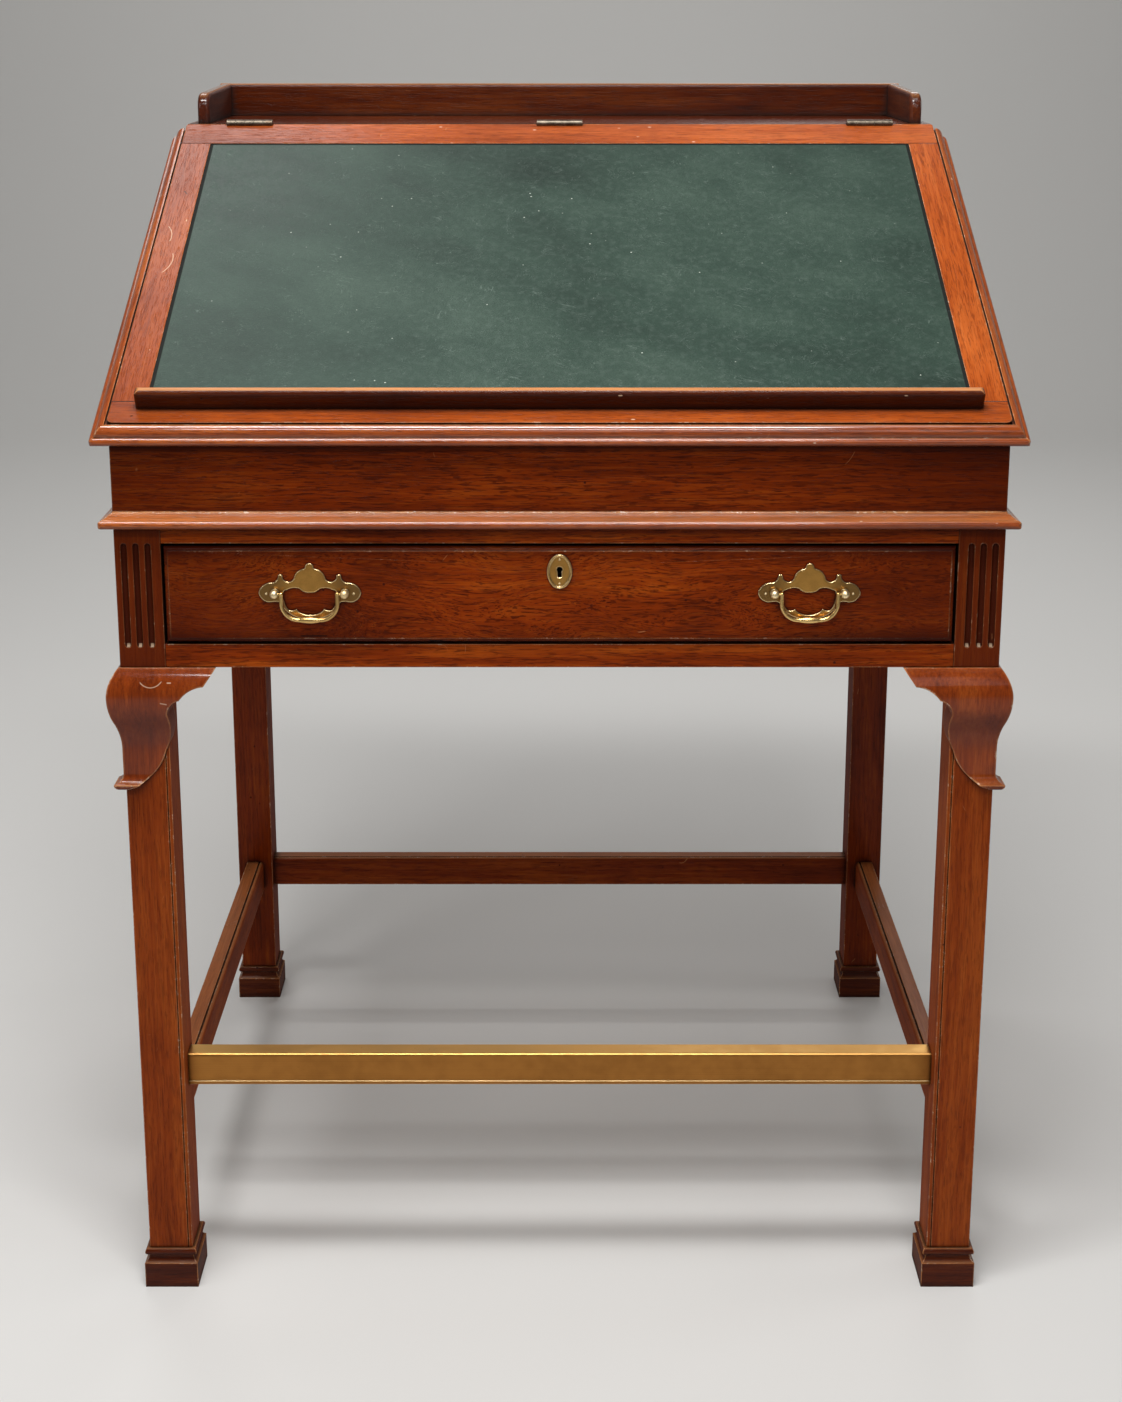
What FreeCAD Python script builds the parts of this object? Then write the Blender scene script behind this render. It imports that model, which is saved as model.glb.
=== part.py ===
import FreeCAD, Part
import math
import os
import re
import Sketcher

# A clerk's standing desk: a drawer case on four legs, with a sloping hinged lid above it.
# Millimetres. +X is the clerk's right, +Y runs to the back, +Z is up, and the floor is at zero.

SIZES = {
    # How far a cutting tool runs past the face it cuts
    "overcut": 2,
    # Stand
    "frame_width": 964,
    "frame_depth": 776,
    "leg_size": 50,
    "case_bottom": 765,
    "tenon_thick": 10,
    "tenon_length": 18,
    "tenon_shoulder": 5,
    "bead_quirk": 1.2,
    "bead_width": 4,
    # Feet
    "foot_reach": 6,
    "foot_block_height": 31,
    "foot_cove_height": 10,
    "foot_bead_height": 8,
    "foot_bead_radius": 4.8,
    "foot_neck": 1.2,
    # Stretchers and foot rail
    "stretcher_top": 219,
    "stretcher_height": 42,
    "stretcher_thick": 24,
    "stretcher_bead": 4.5,
    "stretcher_quirk": 2.6,
    "foot_rail_top": 286,
    "foot_rail_height": 38,
    "foot_rail_depth": 25,
    "foot_rail_setback": 23,
    "foot_rail_round": 3,
    "foot_rail_lip": 2,
    # Knee brackets
    "knee_height": 140.5,
    "knee_skin": 2,
    "knee_swell": 14.5,
    "knee_swell_drop": 32,
    "knee_neck_rise": 46.5,
    "knee_lip_height": 17,
    "knee_lip_reach": 11.5,
    "knee_lip_rise": 6.5,
    "knee_lip_radius": 8,
    "knee_sole_radius": 60,
    "knee_heel_inset": 3.5,
    "knee_heel_rise": 44.5,
    "knee_calf_radius": 58,
    "knee_waist_drop": 52,
    "knee_waist_reach": 1,
    "knee_hollow_radius": 18,
    "knee_cusp_reach": 15.2,
    "knee_cusp_drop": 34.3,
    "knee_lobe_radius": 35,
    "knee_ear_corner": 12.5,
    "knee_ear_drop": 19,
    "knee_ear_reach": 54.5,
    "knee_ear_edge": 1,
    "knee_thick": 24,
    # Drawer case
    "bottom_rail_height": 26.5,
    "opening_height": 114,
    "top_rail_height": 18,
    "rail_thick": 20,
    "apron_thick": 18,
    "apron_inset": 3,
    "flute_count": 3,
    "flute_pitch": 13,
    "flute_radius": 3.4,
    "flute_depth": 3.3,
    "flute_drop": 4,
    "flute_shift": 2,
    "runner_bearing": 16,
    "runner_height": 20,
    "guide_height": 18,
    "waist_height": 18,
    "waist_reach": 14.5,
    "waist_step": 3,
    "waist_nose": 4.9,
    "corner_ease": 5,
    # Desk box
    "board_thick": 18,
    "floor_thick": 10,
    "floor_housing": 6,
    "shelf_thick": 20,
    "shelf_depth": 222,
    "gallery_height": 44,
    "gallery_fall": 5,
    "gallery_thick": 15.5,
    "gallery_inset": 10,
    "gallery_setback": 14,
    "gallery_nose": 19,
    "gallery_round": 5,
    # Lid
    "box_front_rise": 115.5,
    "lid_rise": 283,
    "lid_lap": 1.5,
    "lid_thick": 20,
    "lid_corner": 7.5,
    "hinge_gap": 1.2,
    "lid_top_rail": 48,
    "lid_bottom_rail": 37,
    "lid_stile": 37,
    "panel_thick": 14,
    "leather_thick": 1.5,
    "leather_sink": 0.6,
    "rim_reach": 18.5,
    "rim_quirk": 2.4,
    "rim_quirk_depth": 4,
    "rim_bead": 4.6,
    "rim_step": 1.2,
    "rim_roll": 10.5,
    "rim_stop": 8,
    "rim_end_radius": 15,
    "rim_roll_drop": 1,
    "ledge_start": 23,
    "ledge_thick": 11,
    "ledge_height": 23,
    "ledge_round": 4,
    "ledge_end_radius": 7,
    "ledge_inset": 27.5,
    # Hinges
    "hinge_spacing": 402,
    "hinge_length": 59,
    "hinge_leaf_height": 14,
    "hinge_leaf_thick": 1.6,
    "hinge_barrel": 4.2,
    "hinge_rise": 1.4,
    "hinge_pin": 2,
    "hinge_clearance": 0.3,
    "pin_clearance": 0.05,
    # Drawer
    "drawer_gap": 3,
    "drawer_front_thick": 20,
    "drawer_field": 4,
    "drawer_thumb": 4.6,
    "drawer_step": 1.2,
    "drawer_back_room": 122,
    "drawer_side_height": 98,
    "drawer_side_thick": 12,
    "drawer_bottom_thick": 8,
    "drawer_bottom_rise": 10,
    "drawer_groove": 5,
    "drawer_lift": 0.3,
    # Lock
    "lock_width": 64,
    "lock_height": 44,
    "lock_depth": 11,
    "bolt_width": 22,
    "bolt_height": 16,
    "bolt_thick": 5,
    "bolt_throw": 8,
    "bolt_clearance": 0.4,
    "keyhole_radius": 3.2,
    "keyhole_slot": 4.4,
    "keyhole_drop": 9,
    "keyhole_below_top": 25,
    "escutcheon_width": 27,
    "escutcheon_height": 38,
    "escutcheon_end_radius": 10.5,
    "escutcheon_thick": 1.2,
    "escutcheon_rim": 2,
    "escutcheon_rim_rise": 1,
    # Handles
    "handle_inset": 158,
    "handle_drop": 54,
    "post_spacing": 76,
    "plate_grid": 76,
    "plate_thick": 1.4,
    "post_ball": 4.8,
    "post_stand": 7,
    "post_neck": 2.8,
    "post_collar": 4.6,
    "post_collar_thick": 1.6,
    "post_shank": 2.5,
    "nut_width": 10,
    "nut_thick": 4,
    "bail_wire": 2.3,
    "bail_pin": 1.6,
    "bail_drop": 29,
    "bail_inset": 7.6,
    "bail_eye": 2.5,
    "bail_bend": 19,
    "bail_swell": 3.7,
    "bail_swell_length": 22,
}

# Places that several pieces share, worked out from the sizes.
PLACES = {
    "half_width": "frame_width/2",
    "inner_half": "half_width - leg_size",
    "front_reach": "drawer_field + plate_thick + post_stand + post_ball",
    "y_front": "(front_reach - foot_reach - frame_depth)/2",
    "y_back": "y_front + frame_depth",
    "y_rear_leg": "y_back - leg_size",
    "span_depth": "frame_depth - 2*leg_size",
    "apron_x": "half_width - apron_inset - apron_thick",
    "apron_y": "y_rear_leg + (leg_size - apron_thick)/2",
    "opening_bottom": "case_bottom + bottom_rail_height",
    "opening_top": "opening_bottom + opening_height",
    "case_top": "opening_top + top_rail_height",
    "case_height": "case_top - case_bottom",
    "leg_middle": "(leg_size - tenon_thick)/2",
    "foot_height": "foot_block_height + foot_cove_height + foot_bead_height",
    "stretcher_low": "stretcher_top - stretcher_height",
    "foot_rail_low": "foot_rail_top - foot_rail_height",
    "runner_y": "y_front + rail_thick",
    "runner_length": "apron_y - runner_y",
    # The plane of the lid: s runs up the slope from the front edge and n stands square to it.
    "lid_front_height": "case_top + box_front_rise",
    "hinge_height": "lid_front_height + lid_rise",
    "hinge_y": "y_back - shelf_depth",
    "lid_y": "y_front - lid_lap",
    "slope_run": "hinge_y - lid_y",
    "slope_length": "sqrt(slope_run^2 + lid_rise^2)",
    "slope_cos": "slope_run/slope_length",
    "slope_sin": "lid_rise/slope_length",
    "slope_tan": "lid_rise/slope_run",
    "lid_length": "slope_length - hinge_gap/2",
    "lid_half": "half_width + lid_lap",
    "panel_half": "lid_half - lid_stile",
    "panel_length": "lid_length - lid_top_rail - lid_bottom_rail",
    "under_lid": "lid_thick/slope_cos",
    "rim_height": "lid_thick",
    "mitre_depth": "2*(waist_height + rim_height)",
    "pivot_y": "hinge_y - hinge_rise*slope_sin",
    "pivot_z": "hinge_height + hinge_rise*slope_cos",
    "shelf_bottom": "hinge_height - shelf_thick",
    "shelf_front": "hinge_y + hinge_gap/2/slope_cos",
    "knee_neck_drop": "knee_height - knee_neck_rise",
    "knee_lip_start": "knee_height - knee_lip_height",
    "knee_lip_drop": "knee_height - knee_lip_rise",
    "knee_heel_drop": "knee_height - knee_heel_rise",
    # Drawer
    "drawer_half": "inner_half - drawer_gap",
    "drawer_bottom_z": "opening_bottom + drawer_lift",
    "drawer_front_low": "opening_bottom + drawer_gap",
    "drawer_front_high": "opening_top - drawer_gap",
    "drawer_y": "y_front + drawer_front_thick",
    "drawer_end": "apron_y - drawer_back_room",
    "drawer_face": "y_front - drawer_field",
    "lock_top": "drawer_front_high",
    "lock_y": "drawer_y - lock_depth",
    "keyhole_z": "drawer_front_high - keyhole_below_top",
    "bolt_rest": "lock_top - bolt_height",
    "bolt_y": "lock_y + (lock_depth - bolt_thick)/2",
    # Handles
    "handle_z": "opening_top - handle_drop",
    "handle_offset": "drawer_half - handle_inset",
    "plate_face": "drawer_face - plate_thick",
    "plate_unit": "post_spacing/plate_grid",
    "post_y": "plate_face - post_stand",
    "bail_half": "post_spacing/2 - bail_inset",
    "bore_length": "post_ball + 2*pin_clearance",
}

WORD = re.compile(r"[A-Za-z_]\w*")
ZERO = FreeCAD.Vector(0, 0, 0)
UP = FreeCAD.Vector(0, 0, 1)
ALONG_X = FreeCAD.Vector(1, 0, 0)
LEFT, RIGHT = -1, 1
SIDES = (("left", LEFT), ("right", RIGHT))
TOUCH = 0.01

doc = FreeCAD.newDocument("standing_desk")
nodes = []


def make_sheet():
    sheet = doc.addObject("Spreadsheet::Sheet", "dims")
    for row, (name, size) in enumerate(SIZES.items(), start=1):
        sheet.set(f"A{row}", name)
        sheet.set(f"B{row}", str(size))
        sheet.setAlias(f"B{row}", name)
    doc.recompute()
    return sheet


dims = make_sheet()


def full(expression):
    """An expression in the names above, written out in the sheet's own cells."""
    def swap(match):
        word = match.group()
        if word in PLACES:
            return f"({full(PLACES[word])})"
        return f"dims.{word}" if word in SIZES else word
    return WORD.sub(swap, str(expression))


def value(expression):
    return float(dims.evalExpression(full(expression)))


def bind(thing, **sizes):
    for name, expression in sizes.items():
        thing.setExpression(name, full(expression))
    return thing


def place(thing, x=0, y=0, z=0):
    for axis, expression in zip("xyz", (x, y, z)):
        thing.setExpression(f"Placement.Base.{axis}", full(expression))
    return thing


def on_slope(thing, x=0, s=0, n=0):
    """Put a piece in the plane of the lid, s up the slope and n above the lid's face."""
    thing.Placement = FreeCAD.Placement(ZERO, FreeCAD.Rotation(ALONG_X, 1))
    thing.setExpression("Placement.Rotation.Angle", full("atan(slope_tan)"))
    y = f"lid_y + ({s})*slope_cos - ({n})*slope_sin"
    z = f"lid_front_height + ({s})*slope_sin + ({n})*slope_cos"
    return place(thing, x, y, z)


def node(thing, name):
    thing.Label = name
    nodes.append(thing)
    return thing


def box(dx, dy, dz, x=0, y=0, z=0):
    block = doc.addObject("Part::Box", "block")
    bind(block, Length=dx, Width=dy, Height=dz)
    return place(block, x, y, z)


def boards(side, near, width):
    """The low X of a board that lies between near and near + width on one side of the middle."""
    return near if side == RIGHT else f"-({near}) - ({width})"


def rod(radius, length, x, y, z):
    """A round bar along X."""
    bar = doc.addObject("Part::Cylinder", "rod")
    bind(bar, Radius=radius, Height=length)
    bar.Placement = FreeCAD.Placement(ZERO, FreeCAD.Rotation(FreeCAD.Vector(0, 1, 0), 90))
    return place(bar, x, y, z)


def cut(base, *tools):
    result = doc.addObject("Part::Cut", "cut")
    result.Base = base
    result.Tool = tools[0] if len(tools) == 1 else fuse(*tools)
    return result


def fuse(*pieces):
    result = doc.addObject("Part::MultiFuse", "fused")
    result.Shapes = list(pieces)
    return result


def common(*pieces):
    result = doc.addObject("Part::MultiCommon", "common")
    result.Shapes = list(pieces)
    return result


def group(pieces):
    result = doc.addObject("Part::Compound", "group")
    result.Links = list(pieces)
    return result


def new_body():
    return doc.addObject("PartDesign::Body", "body")


def plane(body, role):
    return next(feature for feature in body.Origin.OriginFeatures if feature.Role == role)


def new_sketch(body, role):
    sketch = body.newObject("Sketcher::SketchObject", "sketch")
    sketch.AttachmentSupport = [(plane(body, role), "")]
    sketch.MapMode = "FlatFace"
    return sketch


def pin_point(sketch, geometry, position, x, y):
    """Tie one point of a sketch to two expressions, measured from the sketch's origin."""
    for kind, expression in (("DistanceX", x), ("DistanceY", y)):
        rule = Sketcher.Constraint(kind, -1, 1, geometry, position, value(expression))
        index = sketch.addConstraint(rule)
        sketch.setExpression(f"Constraints[{index}]", full(expression))


def pin_radius(sketch, geometry, expression):
    index = sketch.addConstraint(Sketcher.Constraint("Radius", geometry, value(expression)))
    sketch.setExpression(f"Constraints[{index}]", full(expression))


def arc_centre(start, end, radius, turn):
    """The centre of the arc from start to end that turns left (1) or right (-1)."""
    chord = end - start
    middle = (start + end)*0.5
    height = math.sqrt(max(radius**2 - chord.Length**2/4, 0.0))
    across = FreeCAD.Vector(-chord.y, chord.x, 0).normalize()
    return middle + across*(height*turn)


def draw(sketch, corners, closed=True):
    """Draw lines and arcs through corners (x, y) or (x, y, radius, turn of the arc that follows)."""
    points = [FreeCAD.Vector(value(corner[0]), value(corner[1]), 0) for corner in corners]
    count = len(corners) if closed else len(corners) - 1
    starts, ends = [], []
    for index in range(count):
        start = points[index]
        end = points[(index + 1) % len(points)]
        corner = corners[index]
        if len(corner) == 2:
            geometry = sketch.addGeometry(Part.LineSegment(start, end), False)
            starts.append((geometry, 1))
            ends.append((geometry, 2))
            continue
        radius, turn = value(corner[2]), corner[3]
        centre = arc_centre(start, end, radius, turn)
        low, high = (start, end) if turn > 0 else (end, start)
        angles = [math.atan2(point.y - centre.y, point.x - centre.x) for point in (low, high)]
        if angles[1] < angles[0]:
            angles[1] += 2*math.pi
        circle = Part.Circle(centre, UP, radius)
        geometry = sketch.addGeometry(Part.ArcOfCircle(circle, angles[0], angles[1]), False)
        starts.append((geometry, 1 if turn > 0 else 2))
        ends.append((geometry, 2 if turn > 0 else 1))
        pin_radius(sketch, geometry, corner[2])
    for index in range(count if closed else count - 1):
        follower = starts[(index + 1) % count]
        sketch.addConstraint(Sketcher.Constraint("Coincident", *ends[index], *follower))
    for index in range(count):
        pin_point(sketch, *starts[index], corners[index][0], corners[index][1])
    if not closed:
        pin_point(sketch, *ends[-1], corners[-1][0], corners[-1][1])
    return sketch


def draw_circle(sketch, x, y, radius):
    centre = FreeCAD.Vector(value(x), value(y), 0)
    geometry = sketch.addGeometry(Part.Circle(centre, UP, value(radius)), False)
    pin_point(sketch, geometry, 3, x, y)
    pin_radius(sketch, geometry, radius)


def outline(body, role, corners):
    return draw(new_sketch(body, role), corners)


def rectangle(x0, x1, y0, y1):
    return [(x0, y0), (x1, y0), (x1, y1), (x0, y1)]


def symmetric(edge):
    """A closed outline from its right-hand edge, given from the foot up."""
    left = []
    for index in range(len(edge) - 1, -1, -1):
        arc = edge[index - 1][2:] if index else ()
        left.append((f"-({edge[index][0]})", edge[index][1], *arc))
    return edge + left


def flip(corners, side):
    """The same outline for the left side, or turned over for the right one."""
    if side == LEFT:
        return corners
    return [(f"-({corner[0]})", corner[1], *((corner[2], -corner[3]) if len(corner) > 2 else ()))
            for corner in corners]


def feature(body, kind, sketch, **settings):
    made = body.newObject(f"PartDesign::{kind}", kind.lower())
    made.Profile = sketch
    for name, setting in settings.items():
        setattr(made, name, setting)
    return made


def pad(body, sketch, length, midplane=False, reverse=False):
    return bind(feature(body, "Pad", sketch, Midplane=midplane, Reversed=reverse), Length=length)


def pocket(body, sketch, length, midplane=False, reverse=False):
    made = feature(body, "Pocket", sketch, Midplane=midplane, Reversed=reverse)
    return bind(made, Length=length)


def turned(body, kind, sketch, axis):
    return feature(body, kind, sketch, ReferenceAxis=(sketch, [axis]), Angle=360.0)


def prism(role, corners, length, midplane=False, reverse=False):
    body = new_body()
    pad(body, outline(body, role, corners), length, midplane, reverse)
    return body


def round_edges(body, base, radius, wanted):
    """Round the edges of a body for which wanted(edge) is true."""
    doc.recompute()
    names = [f"Edge{index}" for index, edge in enumerate(base.Shape.Edges, start=1) if wanted(edge)]
    rounded = body.newObject("PartDesign::Fillet", "fillet")
    rounded.Base = (base, names)
    return bind(rounded, Radius=radius)


# Legs, with their mortises, flutes and beaded inner corner

APRON_JOINT = ("case_bottom + tenon_shoulder", "case_height - 2*tenon_shoulder")
STRETCHER_JOINT = ("stretcher_low + tenon_shoulder", "stretcher_height - 2*tenon_shoulder")
FRONT_JOINTS = (
    ("case_bottom + tenon_shoulder", "bottom_rail_height - 2*tenon_shoulder"),
    ("opening_top + tenon_shoulder/2", "top_rail_height - tenon_shoulder"),
)
FRONT_TENON_Y = "y_front + (rail_thick - tenon_thick)/2"
FRONT_LEG_Y = "y_front + leg_size - tenon_length"
REAR_TENON_Y = "y_rear_leg + leg_middle"


def side_tenons(side, y):
    """The tenons of a side apron and a side stretcher where they enter a leg."""
    apron_x = boards(side, "apron_x + (apron_thick - tenon_thick)/2", "tenon_thick")
    stretcher_x = boards(side, "inner_half + leg_middle", "tenon_thick")
    return [box("tenon_thick", "tenon_length", height, x, y, z)
            for x, (z, height) in ((apron_x, APRON_JOINT), (stretcher_x, STRETCHER_JOINT))]


def tenon_across(side, y, z, height):
    """The tenon of a board that runs from side to side, in the inner face of a leg."""
    x = boards(side, "inner_half", "tenon_length")
    return box("tenon_length", "tenon_thick", height, x, y, z)


def leg_blank(side, y):
    """A square post, centred on its body's origin."""
    body = new_body()
    half = "leg_size/2"
    pad(body, outline(body, "XY_Plane", rectangle(f"-{half}", half, f"-{half}", half)), "case_top")
    return place(body, f"{side}*(half_width - {half})", f"{y} + {half}", 0)


def flute(x):
    """A round-ended hollow to be cut down the front of a leg, beside the drawer."""
    low = "opening_bottom - flute_drop"
    high = "opening_top"
    section = [
        (0, low, "flute_radius", 1),
        ("flute_radius", f"{low} + flute_radius"),
        ("flute_radius", f"{high} - flute_radius", "flute_radius", 1),
        (0, high),
    ]
    tool = new_body()
    turned(tool, "Revolution", outline(tool, "XZ_Plane", section), "V_Axis")
    return place(tool, x, "y_front - flute_radius + flute_depth", 0)


def front_leg(name, side):
    body = leg_blank(side, "y_front")
    near = f"{-side}*(leg_size/2 - bead_width - bead_quirk)"
    far = f"{-side}*(leg_size/2 - bead_width)"
    quirk = rectangle(near, far, "-leg_size/2 - overcut", "-leg_size/2 + bead_quirk")
    pocket(body, outline(body, "XY_Plane", quirk), "case_bottom", reverse=True)
    middle = f"{side}*(half_width - leg_size/2 + flute_shift)"
    count = int(value("flute_count"))
    tools = [flute(f"{middle} + ({index - (count - 1)/2})*flute_pitch") for index in range(count)]
    tools += side_tenons(side, FRONT_LEG_Y)
    tools += [tenon_across(side, FRONT_TENON_Y, z, height) for z, height in FRONT_JOINTS]
    tools.append(rail_spigot(side))
    return node(cut(body, *tools), name)


def rear_leg(name, side):
    body = leg_blank(side, "y_rear_leg")
    tools = side_tenons(side, "y_rear_leg")
    tools += [tenon_across(side, REAR_TENON_Y, z, height) for z, height in (APRON_JOINT, STRETCHER_JOINT)]
    return node(cut(body, *tools), name)


def rail_spigot(side):
    """The end of the brass rail that is let into a front leg."""
    x = boards(side, "inner_half", "tenon_shoulder")
    y = "y_front + foot_rail_setback + foot_rail_round"
    depth = "foot_rail_depth - 2*foot_rail_round"
    height = "foot_rail_height - 2*foot_rail_round"
    return box("tenon_shoulder", depth, height, x, y, "foot_rail_low + foot_rail_round")


# Feet: a moulding planted round each leg, from two crossed profiles

def foot(name, side, y):
    half = "leg_size/2"
    cove_top = "foot_block_height + foot_cove_height"
    edge = [
        (f"{half} + foot_reach", 0),
        (f"{half} + foot_reach", "foot_block_height", "foot_cove_height", -1),
        (f"{half} + foot_neck", cove_top),
        (f"{half} + foot_reach/2", cove_top, "foot_bead_radius", 1),
        (f"{half} + foot_reach/2", "foot_height"),
    ]
    width = "leg_size + 2*foot_reach + overcut"
    x = f"{side}*(half_width - {half})"
    across = place(prism("XZ_Plane", symmetric(edge), width, midplane=True), x, f"{y} + {half}", 0)
    along = place(prism("YZ_Plane", symmetric(edge), width, midplane=True), x, f"{y} + {half}", 0)
    post = box("leg_size", "leg_size", "foot_height + 2*overcut", f"{x} - {half}", y, "-overcut")
    return node(cut(common(across, along), post), name)


# Knee brackets: one outline seen from the front and from the side, crossed at the corner

def knee_outline():
    """From the top outer corner down the swelling knee, round the toe and up to the ear."""
    full_swell = "(knee_swell - knee_skin)"
    half_drop = "((knee_neck_drop - knee_swell_drop)/2)"
    lip_drop = "(knee_lip_drop - knee_lip_start)"
    lip_reach = "(knee_lip_reach - knee_skin)"
    crown = f"({full_swell}^2 + knee_swell_drop^2)/(2*{full_swell})"
    ogee = f"({full_swell}^2/4 + {half_drop}^2)/{full_swell}"
    lip = f"({lip_reach}^2 + {lip_drop}^2)/(2*{lip_reach})"
    return [
        ("-knee_skin", 0, crown, 1),
        ("-knee_swell", "-knee_swell_drop", ogee, 1),
        ("-(knee_swell + knee_skin)/2", f"-knee_swell_drop - {half_drop}", ogee, -1),
        ("-knee_skin", "-knee_neck_drop"),
        ("-knee_skin", "-knee_lip_start", lip, -1),
        ("-knee_lip_reach", "-knee_lip_drop", "knee_lip_radius", 1),
        (0, "-knee_height", "knee_sole_radius", 1),
        ("leg_size - knee_heel_inset", "-knee_heel_drop", "knee_calf_radius", 1),
        ("leg_size + knee_waist_reach", "-knee_waist_drop", "knee_hollow_radius", -1),
        ("leg_size + knee_cusp_reach", "-knee_cusp_drop", "knee_lobe_radius", -1),
        ("leg_size + knee_ear_reach - knee_ear_corner", "-knee_ear_drop"),
        ("leg_size + knee_ear_reach", "-knee_ear_edge"),
        ("leg_size + knee_ear_reach", 0),
    ]


def knee_bracket(name, side):
    x = f"{side}*half_width"
    reach = "2*(leg_size + knee_ear_reach + knee_swell)"
    front = prism("XZ_Plane", flip(knee_outline(), side), reach, midplane=True)
    flank = prism("YZ_Plane", knee_outline(), reach, midplane=True)
    crossed = common(place(front, x, "y_front", "case_bottom"),
                     place(flank, x, "y_front", "case_bottom"))
    span = "leg_size + knee_ear_reach"
    low = "case_bottom - knee_height - overcut"
    tall = "knee_height + 2*overcut"
    leg_room = box("leg_size", "leg_size", tall, boards(side, "inner_half", "leg_size"), "y_front", low)
    inside_x = boards(side, f"half_width - knee_thick - ({span})", span)
    inside = box(span, span, tall, inside_x, "y_front + knee_thick", low)
    return node(cut(crossed, leg_room, inside), name)


# Stretchers and the brass foot rail

def stretcher_section(inward):
    """A bar with a bead and a quirk along its inner upper corner, measured from the middle of its foot."""
    half = "stretcher_thick/2"
    quirk = f"{half} - stretcher_bead"
    section = [
        (f"-{half}", 0),
        (half, 0),
        (half, "stretcher_height - stretcher_bead", "stretcher_bead", 1),
        (quirk, "stretcher_height"),
        (quirk, "stretcher_height - stretcher_quirk"),
        (f"{quirk} - stretcher_quirk", "stretcher_height - stretcher_quirk"),
        (f"{quirk} - stretcher_quirk", "stretcher_height"),
        (f"-{half}", "stretcher_height"),
    ]
    return section if inward == RIGHT else flip(section, RIGHT)


def side_stretcher(name, side):
    bar = prism("XZ_Plane", stretcher_section(-side), "span_depth", reverse=True)
    place(bar, f"{side}*(half_width - leg_size/2)", "y_front + leg_size", "stretcher_low")
    ends = [side_tenons(side, y)[1] for y in (FRONT_LEG_Y, "y_rear_leg")]
    return node(fuse(bar, *ends), name)


def rear_stretcher(name):
    bar = prism("YZ_Plane", stretcher_section(LEFT), "2*inner_half", midplane=True)
    place(bar, 0, "y_rear_leg + leg_size/2", "stretcher_low")
    ends = [tenon_across(side, REAR_TENON_Y, *STRETCHER_JOINT) for _, side in SIDES]
    return node(fuse(bar, *ends), name)


def foot_rail(name):
    """The brass rail: rounded upper corners and a narrow lip along its foot."""
    depth, height, round_ = "foot_rail_depth", "foot_rail_height", "foot_rail_round"
    section = [
        (0, 0),
        (depth, 0),
        (depth, f"{height} - {round_}", round_, 1),
        (f"{depth} - {round_}", height),
        (round_, height, round_, 1),
        (0, f"{height} - {round_}"),
        (0, "2*foot_rail_lip"),
        ("-foot_rail_lip/2", "2*foot_rail_lip"),
        ("-foot_rail_lip/2", 0),
    ]
    bar = prism("YZ_Plane", section, "2*inner_half", midplane=True)
    place(bar, 0, "y_front + foot_rail_setback", "foot_rail_low")
    return node(fuse(bar, *[rail_spigot(side) for _, side in SIDES]), name)


# Drawer case: rails, aprons, runners and kickers

def front_rail(name, index, z, height, *hollows):
    bar = box("2*inner_half", "rail_thick", height, "-inner_half", "y_front", z)
    ends = [tenon_across(side, FRONT_TENON_Y, *FRONT_JOINTS[index]) for _, side in SIDES]
    whole = fuse(bar, *ends)
    return node(cut(whole, *hollows) if hollows else whole, name)


def bolt_mortise():
    """Room in the upper rail for the bolt of the lock."""
    width = "bolt_width + 4*bolt_clearance"
    depth = "bolt_thick + 4*bolt_clearance"
    height = "bolt_throw + overcut"
    y = "bolt_y - 2*bolt_clearance"
    return box(width, depth, height, f"-({width})/2", y, "opening_top - overcut/2")


def side_apron(name, side):
    x = boards(side, "apron_x", "apron_thick")
    board = box("apron_thick", "span_depth", "case_height", x, "y_front + leg_size", "case_bottom")
    ends = [side_tenons(side, y)[0] for y in (FRONT_LEG_Y, "y_rear_leg")]
    return node(fuse(board, *ends), name)


def back_apron(name):
    board = box("2*inner_half", "apron_thick", "case_height", "-inner_half", "apron_y", "case_bottom")
    ends = [tenon_across(side, REAR_TENON_Y, *APRON_JOINT) for _, side in SIDES]
    return node(fuse(board, *ends), name)


def runner(name, side):
    """An angled bearer for one drawer side: it carries the side and guides its outer face."""
    section = [
        ("drawer_half - runner_bearing", "-runner_height"),
        ("apron_x", "-runner_height"),
        ("apron_x", "guide_height"),
        ("inner_half", "guide_height"),
        ("inner_half", 0),
        ("drawer_half - runner_bearing", 0),
    ]
    mine = section if side == RIGHT else flip(section, RIGHT)
    bar = prism("XZ_Plane", mine, "runner_length", reverse=True)
    place(bar, 0, "runner_y", "opening_bottom")
    low = "opening_bottom - runner_height - overcut"
    tall = "runner_height + guide_height + 2*overcut"
    x = boards(side, "inner_half", "leg_size")
    posts = [box("leg_size", "leg_size", tall, x, y, low) for y in ("y_front", "y_rear_leg")]
    return node(cut(bar, *posts), name)


def kickers(name):
    """Two strips over the drawer sides that keep the drawer from tipping."""
    width = "runner_bearing + drawer_gap"
    strips = [box(width, "runner_length", "top_rail_height", boards(side, f"inner_half - ({width})", width),
                  "runner_y", "opening_top") for _, side in SIDES]
    return node(group(strips), name)


# Mouldings at the waist, mitred at the front corners

def waist_section():
    """Reach v from the case and height z: a step, a sloping shoulder and a round nose."""
    nose_low = "waist_reach - waist_nose"
    return [
        (0, 0),
        (nose_low, 0, "waist_nose", 1),
        ("waist_reach", "waist_nose", "waist_nose", 1),
        (nose_low, "2*waist_nose", "2*waist_height", -1),
        ("waist_step", "waist_height - waist_step", "waist_step", -1),
        (0, "waist_height"),
    ]


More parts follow.
